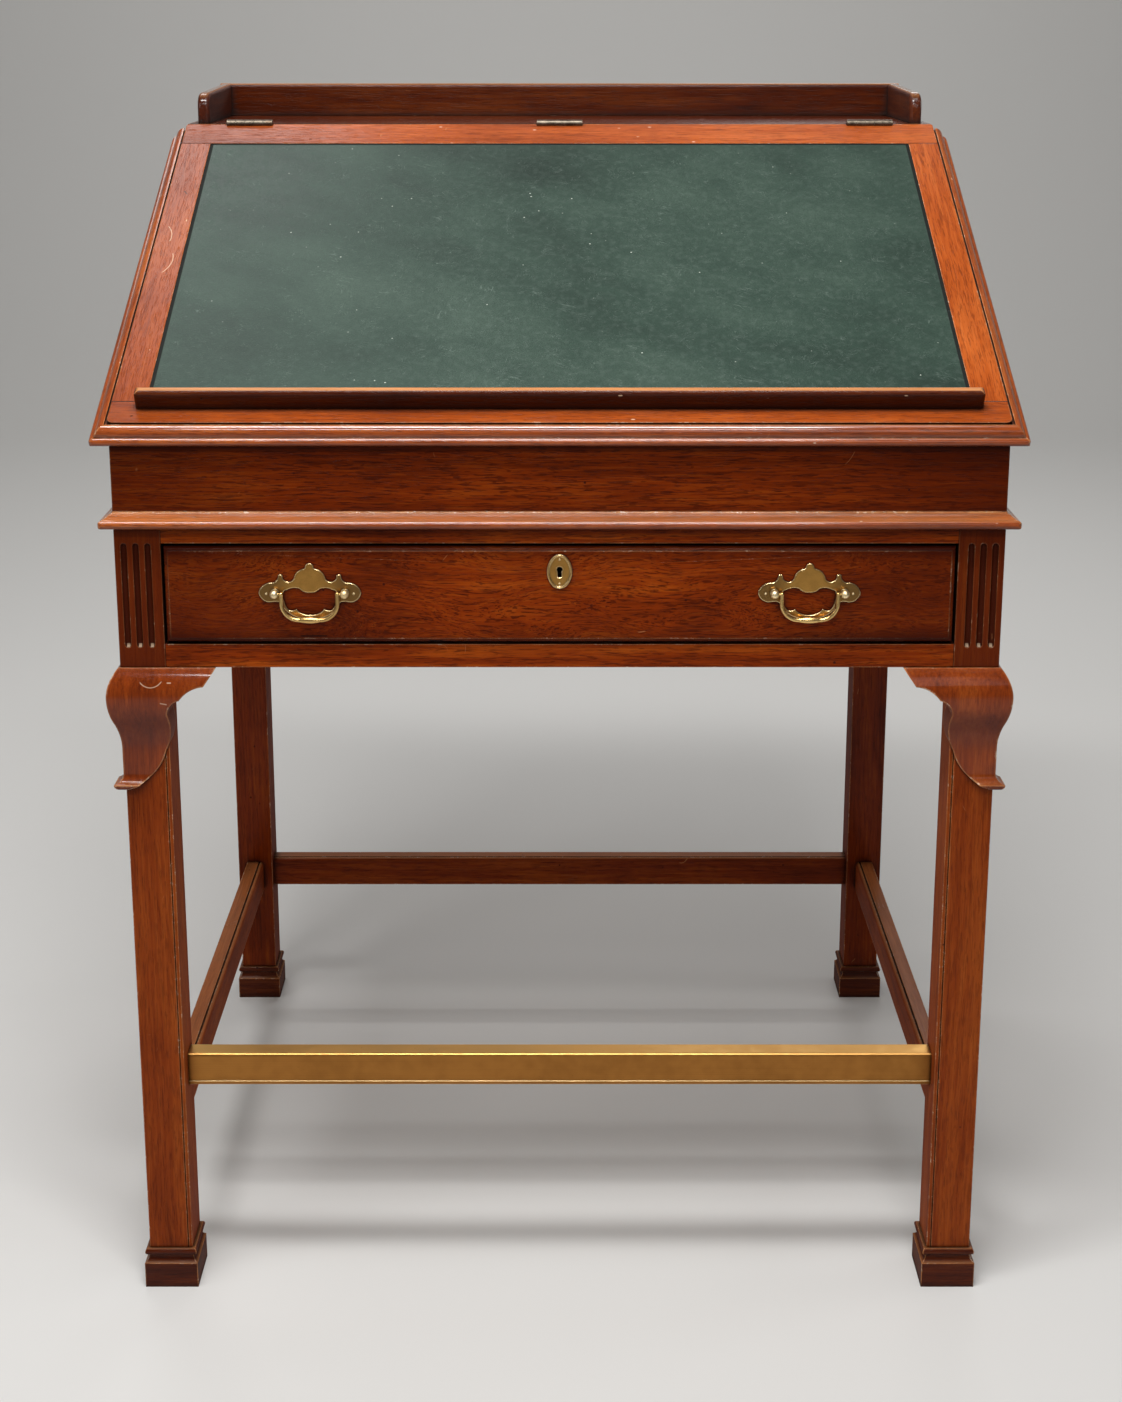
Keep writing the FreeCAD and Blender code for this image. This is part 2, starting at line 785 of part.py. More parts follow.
def mitre(start, reach):
    """The corner to cut from the end of a front moulding, outside its mitre."""
    far = f"{start} + {reach} + overcut"
    return [(start, 0), (far, f"-({reach}) - overcut"), (far, "overcut"), (start, "overcut")]


def side_mitre(reach):
    """The corner to cut from the front end of a side moulding that lies on the right."""
    far = f"-({reach}) - overcut"
    return [(0, 0), (0, far), (f"{reach} + overcut", far)]


def worn_corner(start, reach):
    """The sharp corner to cut from two mouldings where they meet, so that it is round in plan."""
    x, y, ease = f"{start} + {reach}", f"-({reach})", "corner_ease"
    return [
        (f"{x} - {ease}", y, ease, 1),
        (x, f"{y} + {ease}"),
        (f"{x} + overcut", f"{y} + {ease}"),
        (f"{x} + overcut", f"{y} - overcut"),
        (f"{x} - {ease}", f"{y} - overcut"),
    ]


def trim(body, side, corners):
    """Cut a corner, drawn for the right side, through the whole height of a moulding."""
    waste = outline(body, "XY_Plane", corners if side == RIGHT else flip(corners, RIGHT))
    pocket(body, waste, "mitre_depth", midplane=True)


def front_moulding(section, start, reach):
    """A moulding along X whose back lies on its body's XZ plane, mitred at both ends."""
    body = new_body()
    pad(body, outline(body, "YZ_Plane", flip(section, RIGHT)), f"2*({start} + {reach})", midplane=True)
    for side in (LEFT, RIGHT):
        trim(body, side, mitre(start, reach))
        trim(body, side, worn_corner(start, reach))
    return body


def side_moulding(section, side, length, reach):
    """A moulding along Y on one side, from its front mitre for the given length behind the corner."""
    body = new_body()
    mine = section if side == RIGHT else flip(section, RIGHT)
    pad(body, outline(body, "XZ_Plane", mine), length, reverse=True)
    pad(body, outline(body, "XZ_Plane", mine), reach)
    trim(body, side, side_mitre(reach))
    trim(body, side, worn_corner("0", reach))
    return body


def waist_mouldings():
    front = front_moulding(waist_section(), "half_width", "waist_reach")
    node(place(front, 0, "y_front", "case_top"), "waist_moulding_front")
    for word, side in SIDES:
        strip = side_moulding(waist_section(), side, "frame_depth", "waist_reach")
        node(place(strip, f"{side}*half_width", "y_front", "case_top"), f"waist_moulding_{word}")


# Desk box: boards under the lid, the shelf behind it and the gallery

def floor_slot():
    """The room that the floor board takes up in the four boards round it."""
    width = "2*(half_width - board_thick + floor_housing)"
    depth = "frame_depth - 2*board_thick + 2*floor_housing"
    y = "y_front + board_thick - floor_housing"
    return box(width, depth, "floor_thick", f"-({width})/2", y, "case_top")


def under_slope(y):
    """Height of the lid's underside at y."""
    return f"lid_front_height + (({y}) - lid_y)*slope_tan - under_lid"


def box_front(name):
    back = "y_front + board_thick"
    section = [("y_front", "case_top"), (back, "case_top"), (back, under_slope(back)),
               ("y_front", under_slope("y_front"))]
    return node(cut(prism("YZ_Plane", section, "frame_width", midplane=True), floor_slot()), name)


def box_side(name, side):
    front = "y_front + board_thick"
    back = "y_back - board_thick"
    crest = "hinge_y + (under_lid - shelf_thick)/slope_tan"
    section = [(front, "case_top"), (back, "case_top"), (back, "shelf_bottom"), (crest, "shelf_bottom"),
               (front, under_slope(front))]
    board = prism("YZ_Plane", section, "board_thick")
    place(board, boards(side, "half_width - board_thick", "board_thick"), 0, 0)
    return node(cut(board, floor_slot()), name)


def box_back(name):
    y = "y_back - board_thick"
    board = box("frame_width", "board_thick", "shelf_bottom - case_top", "-half_width", y, "case_top")
    return node(cut(board, floor_slot()), name)


HINGE_PLACES = ("-hinge_spacing", "0", "hinge_spacing")


def hinge_room(x, leaf_s):
    """What a hinge takes up in the shelf or the lid: its barrel, and one leaf from leaf_s up the slope."""
    long = "hinge_length + 2*hinge_clearance"
    barrel = rod("hinge_barrel + hinge_clearance", long, f"{x} - ({long})/2", "pivot_y", "pivot_z")
    leaf = box("hinge_length", "hinge_leaf_thick", "hinge_leaf_height + 2*hinge_rise")
    on_slope(leaf, f"{x} - hinge_length/2", leaf_s, "hinge_rise - hinge_leaf_height")
    return barrel, leaf


def shelf(name):
    back = "y_back"
    section = [("shelf_front + shelf_thick*slope_tan", "shelf_bottom"), (back, "shelf_bottom"),
               (back, "hinge_height"), ("shelf_front", "hinge_height")]
    board = prism("YZ_Plane", section, "frame_width", midplane=True)
    rooms = [tool for x in HINGE_PLACES for tool in hinge_room(x, "slope_length + hinge_gap/2")]
    return node(cut(board, *rooms), name)


def gallery_back(name):
    body = new_body()
    half = "half_width - gallery_inset"
    base = pad(body, outline(body, "XZ_Plane", rectangle(f"-({half})", half, 0, "gallery_height")),
               "gallery_thick")
    round_edges(body, base, "gallery_round", lambda edge: lies_high(edge, "gallery_height"))
    return node(place(body, 0, "y_back", "hinge_height"), name)


def lies_high(edge, height):
    """True for a long edge along the top of a board."""
    return edge.BoundBox.ZMin > value(height) - TOUCH and edge.BoundBox.XLength > edge.BoundBox.YLength


def gallery_end(name, side):
    """A side of the gallery, falling to a rounded nose at the front, with rounded upper edges."""
    length = "y_back - gallery_thick - hinge_y - gallery_setback"
    fall = f"atan(gallery_fall/({length}))"
    nose_low = "gallery_height - gallery_fall - gallery_nose"
    nose_start = f"gallery_nose*(1 - sin({fall}))"
    nose_high = f"{nose_low} + gallery_nose*cos({fall})"
    section = [
        (0, 0),
        (length, 0),
        (length, f"{nose_high} + ({length} - {nose_start})*gallery_fall/({length})"),
        (nose_start, nose_high, "gallery_nose", 1),
        (0, nose_low),
    ]
    body = new_body()
    base = pad(body, outline(body, "YZ_Plane", section), "gallery_thick")
    shoulder = value(length) - TOUCH
    round_edges(body, base, "gallery_round", lambda edge: edge.BoundBox.ZMax > TOUCH
                and edge.BoundBox.XLength < TOUCH and edge.BoundBox.YMin < shoulder)
    x = boards(side, "half_width - gallery_inset - gallery_thick", "gallery_thick")
    return node(place(body, x, "hinge_y + gallery_setback", "hinge_height"), name)


# Lid: a clamped frame round a leather panel, with a moulded rim and a ledge for papers

def lid_end_rail(name, start, end, round_low, rooms=()):
    """A full-width rail of the lid, with rounded outer corners."""
    low = "lid_corner" if round_low else "lid_corner/2"
    near, far = (start, end) if round_low else (end, start)
    sign, turn = (1, 1) if round_low else (-1, -1)
    corners = [
        (f"-lid_half + {low}", near),
        (f"lid_half - {low}", near, low, turn),
        ("lid_half", f"{near} + {sign}*{low}"),
        ("lid_half", far),
        ("-lid_half", far),
        ("-lid_half", f"{near} + {sign}*{low}", low, turn),
    ]
    rail = on_slope(prism("XY_Plane", corners, "lid_thick", reverse=True))
    return node(cut(rail, *rooms) if rooms else rail, name)


def on_lid(dx, ds, dn, x, s, n):
    return on_slope(box(dx, ds, dn), x, s, n)


def rim_section():
    """Reach v from the lid's edge and n from its face: a quirk, a round roll and a nose below it."""
    bead_top = "-rim_height + 2*rim_bead"
    return [
        (0, "-rim_height"),
        ("rim_reach - rim_bead", "-rim_height", "rim_bead", 1),
        ("rim_reach", "-rim_height + rim_bead", "rim_bead", 1),
        ("rim_reach - rim_bead", bead_top),
        ("rim_reach - rim_bead - rim_step", bead_top, "rim_roll", 1),
        ("rim_quirk", "-rim_roll_drop"),
        ("rim_quirk", "-rim_quirk_depth"),
        (0, "-rim_quirk_depth"),
    ]


def rim_mouldings():
    front = front_moulding(rim_section(), "lid_half", "rim_reach")
    node(on_slope(front), "lid_moulding_front")
    length = "lid_length - rim_stop"
    for word, side in SIDES:
        strip = side_moulding(rim_section(), side, length, "rim_reach")
        nose = "rim_end_radius"
        corner = [
            ("rim_reach + overcut", f"{length} - {nose}"),
            ("rim_reach + overcut", f"{length} + overcut"),
            (f"rim_reach - {nose}", f"{length} + overcut"),
            (f"rim_reach - {nose}", length, nose, -1),
            ("rim_reach", f"{length} - {nose}"),
        ]
        trim(strip, side, corner)
        node(on_slope(strip, f"{side}*lid_half"), f"lid_moulding_{word}")


def ledge(name):
    """A strip with rounded shoulders, its ends rounded in plan and at their upper corners."""
    half = "(lid_half - ledge_inset)"
    round_ = "ledge_round"
    plan = [
        (f"-{half} + {round_}", 0),
        (f"{half} - {round_}", 0, round_, 1),
        (half, round_),
        (half, f"ledge_thick - {round_}", round_, 1),
        (f"{half} - {round_}", "ledge_thick"),
        (f"-{half} + {round_}", "ledge_thick", round_, 1),
        (f"-{half}", f"ledge_thick - {round_}"),
        (f"-{half}", round_, round_, 1),
    ]
    section = [
        (0, 0),
        ("ledge_thick", 0),
        ("ledge_thick", f"ledge_height - {round_}", round_, 1),
        (f"ledge_thick - {round_}", "ledge_height"),
        (round_, "ledge_height", round_, 1),
        (0, f"ledge_height - {round_}"),
    ]
    end = "ledge_end_radius"
    face = [
        (f"-{half}", 0),
        (half, 0),
        (half, f"ledge_height - {end}", end, 1),
        (f"{half} - {end}", "ledge_height"),
        (f"-{half} + {end}", "ledge_height", end, 1),
        (f"-{half}", f"ledge_height - {end}"),
    ]
    flat = on_slope(prism("XY_Plane", plan, "ledge_height + overcut"), 0, "ledge_start", 0)
    faced = on_slope(prism("XZ_Plane", face, "2*ledge_thick + overcut", midplane=True), 0, "ledge_start", 0)
    upright = on_slope(prism("YZ_Plane", section, "frame_width", midplane=True), 0, "ledge_start", 0)
    return node(common(flat, faced, upright), name)


def lid_pieces():
    rooms = [tool for x in HINGE_PLACES
             for tool in hinge_room(x, "slope_length - hinge_gap/2 - hinge_leaf_thick")]
    lid_end_rail("lid_top_rail", "lid_length - lid_top_rail", "lid_length", False, rooms)
    lid_end_rail("lid_bottom_rail", "0", "lid_bottom_rail", True)
    for word, side in SIDES:
        x = boards(side, "panel_half", "lid_stile")
        node(on_lid("lid_stile", "panel_length", "lid_thick", x, "lid_bottom_rail", "-lid_thick"),
             f"lid_stile_{word}")
    skin = "leather_sink + leather_thick"
    node(on_lid("2*panel_half", "panel_length", "panel_thick", "-panel_half", "lid_bottom_rail",
                f"-({skin}) - panel_thick"), "lid_panel")
    node(on_lid("2*panel_half", "panel_length", "leather_thick", "-panel_half", "lid_bottom_rail",
                f"-({skin})"), "writing_leather")
    rim_mouldings()
    ledge("paper_ledge")


# Hinges: two leaves with interlocking knuckles on one pin

KNUCKLES = 5


def knuckle_sections(mine, radius, play):
    """Rectangles, to be turned about X, for the knuckles of one leaf or for the room of the other's."""
    each = f"hinge_length/{KNUCKLES}"
    low = [f"-hinge_length/2 + {index}*{each}" for index in range(KNUCKLES)]
    return [rectangle(f"{low[index]} + ({play})", f"{low[index]} + {each} - ({play})", 0, radius)
            for index in mine]


def hinge_leaf(x, mine, theirs, leaf_s):
    body = new_body()
    end = "hinge_length/2"
    plate = rectangle(leaf_s, f"{leaf_s} + hinge_leaf_thick", "-hinge_leaf_height", 0)
    pad(body, outline(body, "YZ_Plane", plate), "hinge_length", midplane=True)
    room = new_sketch(body, "XY_Plane")
    for corners in knuckle_sections(theirs, "hinge_barrel + hinge_clearance", "-hinge_clearance/2"):
        draw(room, corners)
    turned(body, "Groove", room, "H_Axis")
    own = new_sketch(body, "XY_Plane")
    for corners in knuckle_sections(mine, "hinge_barrel", "hinge_clearance/2"):
        draw(own, corners)
    turned(body, "Revolution", own, "H_Axis")
    bore = rectangle(f"-{end} - overcut", f"{end} + overcut", 0, "hinge_pin + pin_clearance")
    turned(body, "Groove", outline(body, "XY_Plane", bore), "H_Axis")
    return on_slope(body, x, "slope_length", "hinge_rise")


def hinges():
    odd = range(0, KNUCKLES, 2)
    even = range(1, KNUCKLES, 2)
    shelf_leaf_s = "hinge_gap/2"
    lid_leaf_s = "-hinge_gap/2 - hinge_leaf_thick"
    node(group([hinge_leaf(x, odd, even, shelf_leaf_s) for x in HINGE_PLACES]), "hinge_shelf_leaves")
    node(group([hinge_leaf(x, even, odd, lid_leaf_s) for x in HINGE_PLACES]), "hinge_lid_leaves")
    pins = [rod("hinge_pin", "hinge_length", f"{x} - hinge_length/2", "pivot_y", "pivot_z")
            for x in HINGE_PLACES]
    node(group(pins), "hinge_pins")


# Drawer

def keyhole_tool(y, depth):
    """A round hole with a slot below it, cut along Y."""
    slot = "keyhole_slot/2"
    meet = "sqrt(keyhole_radius^2 - keyhole_slot^2/4)"
    corners = [
        (f"-{slot}", "-keyhole_drop"),
        (slot, "-keyhole_drop"),
        (slot, f"-{meet}", "keyhole_radius", 1),
        (0, "keyhole_radius", "keyhole_radius", 1),
        (f"-{slot}", f"-{meet}"),
    ]
    return place(prism("XZ_Plane", corners, depth, reverse=True), 0, y, "keyhole_z")


def lock_block():
    low = "lock_top - lock_height"
    return box("lock_width", "lock_depth", "lock_height", "-lock_width/2", "lock_y", low)


def post_hole(side, post):
    """Room for a handle post through the drawer front."""
    tool = new_body()
    circle = new_sketch(tool, "XZ_Plane")
    draw_circle(circle, 0, 0, "post_shank + pin_clearance")
    pad(tool, circle, "2*(drawer_front_thick + nut_thick + overcut)", midplane=True)
    return place(tool, f"{side}*handle_offset + {post}*post_spacing/2", "y_front", "handle_z")


def drawer_bottom_board():
    x = "drawer_half - drawer_side_thick + drawer_groove"
    y = "drawer_y - drawer_groove"
    length = "drawer_end - drawer_side_thick - drawer_y + 2*drawer_groove"
    low = "drawer_bottom_z + drawer_bottom_rise"
    return box(f"2*({x})", length, "drawer_bottom_thick", f"-({x})", y, low)


def drawer_front(name):
    """A board with a raised field, stepped down to a thumb moulding round its border."""
    thumb = "drawer_thumb"
    step = "drawer_face + drawer_step"
    edge = f"{step} + drawer_thumb"
    field = "(drawer_half - drawer_thumb)"
    low, high = "drawer_front_low", "drawer_front_high"
    plan = [
        ("-drawer_half", "drawer_y"),
        ("-drawer_half", edge, thumb, 1),
        (f"-{field}", step),
        (f"-{field}", "drawer_face"),
        (field, "drawer_face"),
        (field, step, thumb, 1),
        ("drawer_half", edge),
        ("drawer_half", "drawer_y"),
    ]
    upright = [
        ("drawer_y", low),
        ("drawer_y", high),
        (edge, high, thumb, 1),
        (step, f"{high} - drawer_thumb"),
        ("drawer_face", f"{high} - drawer_thumb"),
        ("drawer_face", f"{low} + drawer_thumb"),
        (step, f"{low} + drawer_thumb", thumb, 1),
        (edge, low),
    ]
    flat = place(prism("XY_Plane", plan, "opening_height"), 0, 0, "opening_bottom")
    tall = prism("YZ_Plane", upright, "frame_width", midplane=True)
    holes = [post_hole(side, post) for _, side in SIDES for post in (LEFT, RIGHT)]
    keyhole = keyhole_tool("drawer_face - overcut", "lock_y - drawer_face + 2*overcut")
    return node(cut(common(flat, tall), lock_block(), keyhole, drawer_bottom_board(), *holes), name)


def drawer_side(name, side):
    x = boards(side, "drawer_half - drawer_side_thick", "drawer_side_thick")
    length = "drawer_end - drawer_y"
    board = box("drawer_side_thick", length, "drawer_side_height", x, "drawer_y", "drawer_bottom_z")
    return node(cut(board, drawer_bottom_board()), name)


def drawer_back(name):
    inner = "drawer_half - drawer_side_thick"
    board = box(f"2*({inner})", "drawer_side_thick", "drawer_side_height", f"-({inner})",
                "drawer_end - drawer_side_thick", "drawer_bottom_z")
    return node(cut(board, drawer_bottom_board()), name)


# Lock, bolt and escutcheon

def bolt_box(grow, tall):
    width = f"bolt_width + 2*({grow})"
    depth = f"bolt_thick + 2*({grow})"
    return box(width, depth, tall, f"-({width})/2", f"bolt_y - ({grow})", "bolt_rest")


def lock(name):
    room = bolt_box("bolt_clearance", "bolt_height + overcut")
    return node(cut(lock_block(), room, keyhole_tool("lock_y - overcut", "lock_depth + 2*overcut")), name)


def oval(shrink):
    """An oval of four arcs, its edge drawn in by shrink."""
    half = "escutcheon_width/2"
    end = "escutcheon_end_radius"
    rise = f"(escutcheon_height/2 - {end})"
    flank = f"(({half})^2 + {rise}^2 - {end}^2)/(2*(({half}) - {end}))"
    lean_x = f"({flank} - {half})/({flank} - {end})"
    lean_z = f"{rise}/({flank} - {end})"
    x = f"{end}*{lean_x} - ({shrink})*{lean_x}"
    z = f"{rise} + {end}*{lean_z} - ({shrink})*{lean_z}"
    side_radius = f"{flank} - ({shrink})"
    end_radius = f"{end} - ({shrink})"
    return [
        (x, f"-({z})", side_radius, 1),
        (x, z, end_radius, 1),
        (f"-({x})", z, side_radius, 1),
        (f"-({x})", f"-({z})", end_radius, 1),
    ]


def escutcheon(name):
    body = new_body()
    pad(body, outline(body, "XZ_Plane", oval("0")), "escutcheon_thick")
    ring = outline(body, "XZ_Plane", oval("0"))
    draw(ring, oval("escutcheon_rim"))
    pad(body, ring, "escutcheon_thick + escutcheon_rim_rise")
    place(body, 0, "drawer_face", "keyhole_z - keyhole_drop/4")
    hole = keyhole_tool("drawer_face - escutcheon_thick - overcut", "escutcheon_thick + 2*overcut")
    return node(cut(body, hole), name)


# Handles: pierced plates, ball-headed posts with nuts, and swinging bails

PLATE_CURVES = (
    (0, 33, 4.6, -1),
    (4.4, 28.4, 2.5, 1),
    (6.4, 26.6, 13, -1),
    (17, 15.6, 6.5, 1),
    (26.6, 13.2, 5, 1),
    (29.2, 19, 3.2, -1),
    (34, 19.6, 8, 1),
    (40, 11, 14, -1),
    (55.5, 0, 12, -1),
    (42, -10.6, 14, 1),
    (32.5, -11, 30, -1),
    (10.5, -29, 24, -1),
    (0, -30.5, 0, 0),
    (0, -25.5, 20, 1),
    (9.5, -23.5, 9, 1),
    (15, -18.5, 8, 1),
    (23, -20, 14, 1),
    (28, -11, 22, 1),
    (29, 0, 4, 1),
    (25, 3.2, 16, 1),
    (11, 4.6, 12, -1),
    (0, 0.4, 0, 0),
)


def plate_outline():
    """The right half of a pierced plate, from the finial round the post to the lower crescent and back."""
    corners = []
    for x, z, radius, turn in PLATE_CURVES:
        point = (f"{x}*plate_unit", f"{z}*plate_unit")
        corners.append((*point, f"{radius}*plate_unit", turn) if turn else point)
    return corners


def handle_plate(side):
    body = new_body()
    half = pad(body, outline(body, "XZ_Plane", plate_outline()), "plate_thick")
    mirror = body.newObject("PartDesign::Mirrored", "mirrored")
    mirror.Originals = [half]
    mirror.MirrorPlane = (plane(body, "YZ_Plane"), [""])
    body.Tip = mirror
    place(body, f"{side}*handle_offset", "drawer_face", "handle_z")
    return cut(body, *[post_hole(side, post) for post in (LEFT, RIGHT)])


def handle_post(side, post):
    """A turned post: shank, collar, neck and ball, bored from inside for the bail's pin."""
    ball, neck = "post_ball", "post_neck"
    shank_end = "plate_thick + drawer_field + drawer_front_thick + nut_thick"
    section = [
        (0, "-post_stand - post_ball", ball, 1),
        (ball, "-post_stand", ball, 1),
        (neck, "-post_stand + sqrt(post_ball^2 - post_neck^2)"),
        (neck, "-post_collar_thick"),
        ("post_collar", "-post_collar_thick"),
        ("post_collar", 0),
        ("post_shank", 0),
        ("post_shank", shank_end),
        (0, shank_end),
    ]
    body = new_body()
    turned(body, "Revolution", outline(body, "XY_Plane", section), "V_Axis")
    x = f"{side}*handle_offset + {post}*post_spacing/2"
    place(body, x, "plate_face", "handle_z")
    start = f"{x} - pin_clearance" if post == LEFT else f"{x} + pin_clearance - bore_length"
    return cut(body, rod("bail_pin + pin_clearance", "bore_length", start, "post_y", "handle_z"))


def handle_nut(side, post):
    half = "nut_width/2"
    x = f"{side}*handle_offset + {post}*post_spacing/2 - {half}"
    block = box("nut_width", "nut_thick", "nut_width", x, "drawer_y", f"handle_z - {half}")
    return cut(block, post_hole(side, post))


def bail(name, side):
    """A swinging bail: two arms and a foot with a swelling at its middle, hung on two pins."""
    arm = "bail_half"
    turn = "bail_bend"
    low = "-bail_drop"
    path = [
        (f"-{arm}", 0),
        (f"-{arm}", f"{low} + {turn}", turn, 1),
        (f"-{arm} + {turn}", low),
        (f"{arm} - {turn}", low, turn, 1),
        (arm, f"{low} + {turn}"),
        (arm, 0),
    ]
    body = new_body()
    ring = new_sketch(body, "XY_Plane")
    draw_circle(ring, f"-{arm}", 0, "bail_wire")
    line = draw(new_sketch(body, "XZ_Plane"), path, closed=False)
    doc.recompute()
    wire = feature(body, "AdditivePipe", ring)
    wire.Spine = (line, [f"Edge{index + 1}" for index in range(len(path) - 1)])
    x = f"{side}*handle_offset"
    place(body, x, "post_y", "handle_z")

    half = "bail_swell_length/2"
    rise = "(bail_swell - bail_wire)"
    crown = f"({half})^2/(2*{rise}) + {rise}/2"
    spindle = [(f"-{half}", 0), (half, 0), (half, "bail_wire", crown, 1), (f"-{half}", "bail_wire")]
    swelling = new_body()
    turned(swelling, "Revolution", outline(swelling, "XY_Plane", spindle), "H_Axis")
    place(swelling, x, "post_y", "handle_z - bail_drop")

    pieces = [body, swelling]
    for post in (LEFT, RIGHT):
        eye = bind(doc.addObject("Part::Sphere", "eye"), Radius="bail_eye")
        pieces.append(place(eye, f"{x} + {post}*{arm}", "post_y", "handle_z"))
        length = "post_spacing/2 - bail_half"
        start = f"{x} + {arm}" if post == RIGHT else f"{x} - post_spacing/2"
        pieces.append(rod("bail_pin", length, start, "post_y", "handle_z"))
    return node(fuse(*pieces), name)


def drawer_pieces():
    drawer_front("drawer_front")
    for word, side in SIDES:
        drawer_side(f"drawer_side_{word}", side)
    drawer_back("drawer_back")
    node(drawer_bottom_board(), "drawer_bottom")
    lock("drawer_lock")
    node(bolt_box("0", "bolt_height"), "lock_bolt")
    escutcheon("escutcheon")
    posts = [(side, post) for _, side in SIDES for post in (LEFT, RIGHT)]
    node(group([handle_plate(side) for _, side in SIDES]), "handle_plates")
    node(group([handle_post(side, post) for side, post in posts]), "handle_posts")
    node(group([handle_nut(side, post) for side, post in posts]), "handle_nuts")
    for word, side in SIDES:
        bail(f"handle_bail_{word}", side)


def stand_pieces():
    for word, side in SIDES:
        front_leg(f"leg_front_{word}", side)
        rear_leg(f"leg_rear_{word}", side)
        foot(f"foot_front_{word}", side, "y_front")
        foot(f"foot_rear_{word}", side, "y_rear_leg")
        knee_bracket(f"knee_bracket_{word}", side)
        side_stretcher(f"stretcher_{word}", side)
        side_apron(f"apron_{word}", side)
        runner(f"drawer_runner_{word}", side)
    rear_stretcher("stretcher_rear")
    foot_rail("brass_foot_rail")
    back_apron("apron_back")
    front_rail("drawer_bottom_rail", 0, "case_bottom", "bottom_rail_height")
    front_rail("drawer_top_rail", 1, "opening_top", "top_rail_height", bolt_mortise())
    kickers("drawer_kickers")
    waist_mouldings()


def box_pieces():
    box_front("box_front")
    for word, side in SIDES:
        box_side(f"box_side_{word}", side)
        gallery_end(f"gallery_{word}", side)
    box_back("box_back")
    node(floor_slot(), "box_floor")
    shelf("pen_shelf")
    gallery_back("gallery_back")


def check():
    """Stop before anything is written if an object failed or a piece has no sound solid."""
    for thing in doc.Objects:
        if {"Invalid", "Error"} & set(thing.State):
            raise RuntimeError(f"{thing.Name} failed: {thing.State}")
    for piece in nodes:
        shape = piece.Shape
        if shape.isNull() or not shape.isValid() or not shape.Solids:
            raise RuntimeError(f"{piece.Label} has no sound solid")


def write():
    os.makedirs("parts", exist_ok=True)
    for piece in nodes:
        piece.Shape.exportStep(f"parts/{piece.Label}.step")
        print(f"{piece.Label}: {len(piece.Shape.Solids)} solid(s), {piece.Shape.Volume/1000:.1f} cm3")


stand_pieces()
box_pieces()
lid_pieces()
hinges()
drawer_pieces()
doc.recompute()
check()
write()
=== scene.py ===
import math

import bpy
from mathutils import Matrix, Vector


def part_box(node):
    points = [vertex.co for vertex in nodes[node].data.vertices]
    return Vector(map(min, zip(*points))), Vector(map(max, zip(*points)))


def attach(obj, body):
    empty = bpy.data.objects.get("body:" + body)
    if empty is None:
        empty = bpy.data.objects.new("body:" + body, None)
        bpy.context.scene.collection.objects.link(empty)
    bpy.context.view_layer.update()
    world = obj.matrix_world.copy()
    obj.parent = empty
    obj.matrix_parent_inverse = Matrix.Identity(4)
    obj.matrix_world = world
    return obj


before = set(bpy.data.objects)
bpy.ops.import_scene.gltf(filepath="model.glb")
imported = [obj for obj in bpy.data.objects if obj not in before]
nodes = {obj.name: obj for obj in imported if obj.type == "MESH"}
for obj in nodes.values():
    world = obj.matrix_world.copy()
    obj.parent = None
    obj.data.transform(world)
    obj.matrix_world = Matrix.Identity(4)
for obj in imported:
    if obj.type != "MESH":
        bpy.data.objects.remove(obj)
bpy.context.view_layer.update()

# Places in metres that the looks take from the solids
MM = 0.001
leather_low, leather_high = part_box("writing_leather")
front_low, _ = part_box("drawer_front")
oval_low, oval_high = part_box("escutcheon")
plates_low, plates_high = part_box("handle_plates")
posts_low, posts_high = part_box("handle_posts")
leg_low, leg_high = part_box("leg_front_right")
knee_low, knee_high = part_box("knee_bracket_right")
_, rail_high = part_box("drawer_bottom_rail")
bail_low, bail_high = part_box("handle_bail_right")
handle_middle = (bail_low.x + bail_high.x)/2
leg_middle = (leg_low.x + leg_high.x)/2
SLOPE = math.atan2(leather_high.z - leather_low.z, leather_high.y - leather_low.y)


def up_slope(point):
    """How far a point lies along the slope of the lid."""
    return point.y*math.cos(SLOPE) + point.z*math.sin(SLOPE)


leather_near, leather_far = up_slope(leather_low), up_slope(leather_high)


# Shader building

EDGE_SAMPLES = 6
# The Mix node's sockets for colours
MIX_FACTOR, MIX_FIRST, MIX_SECOND, MIX_RESULT = 0, 6, 7, 2


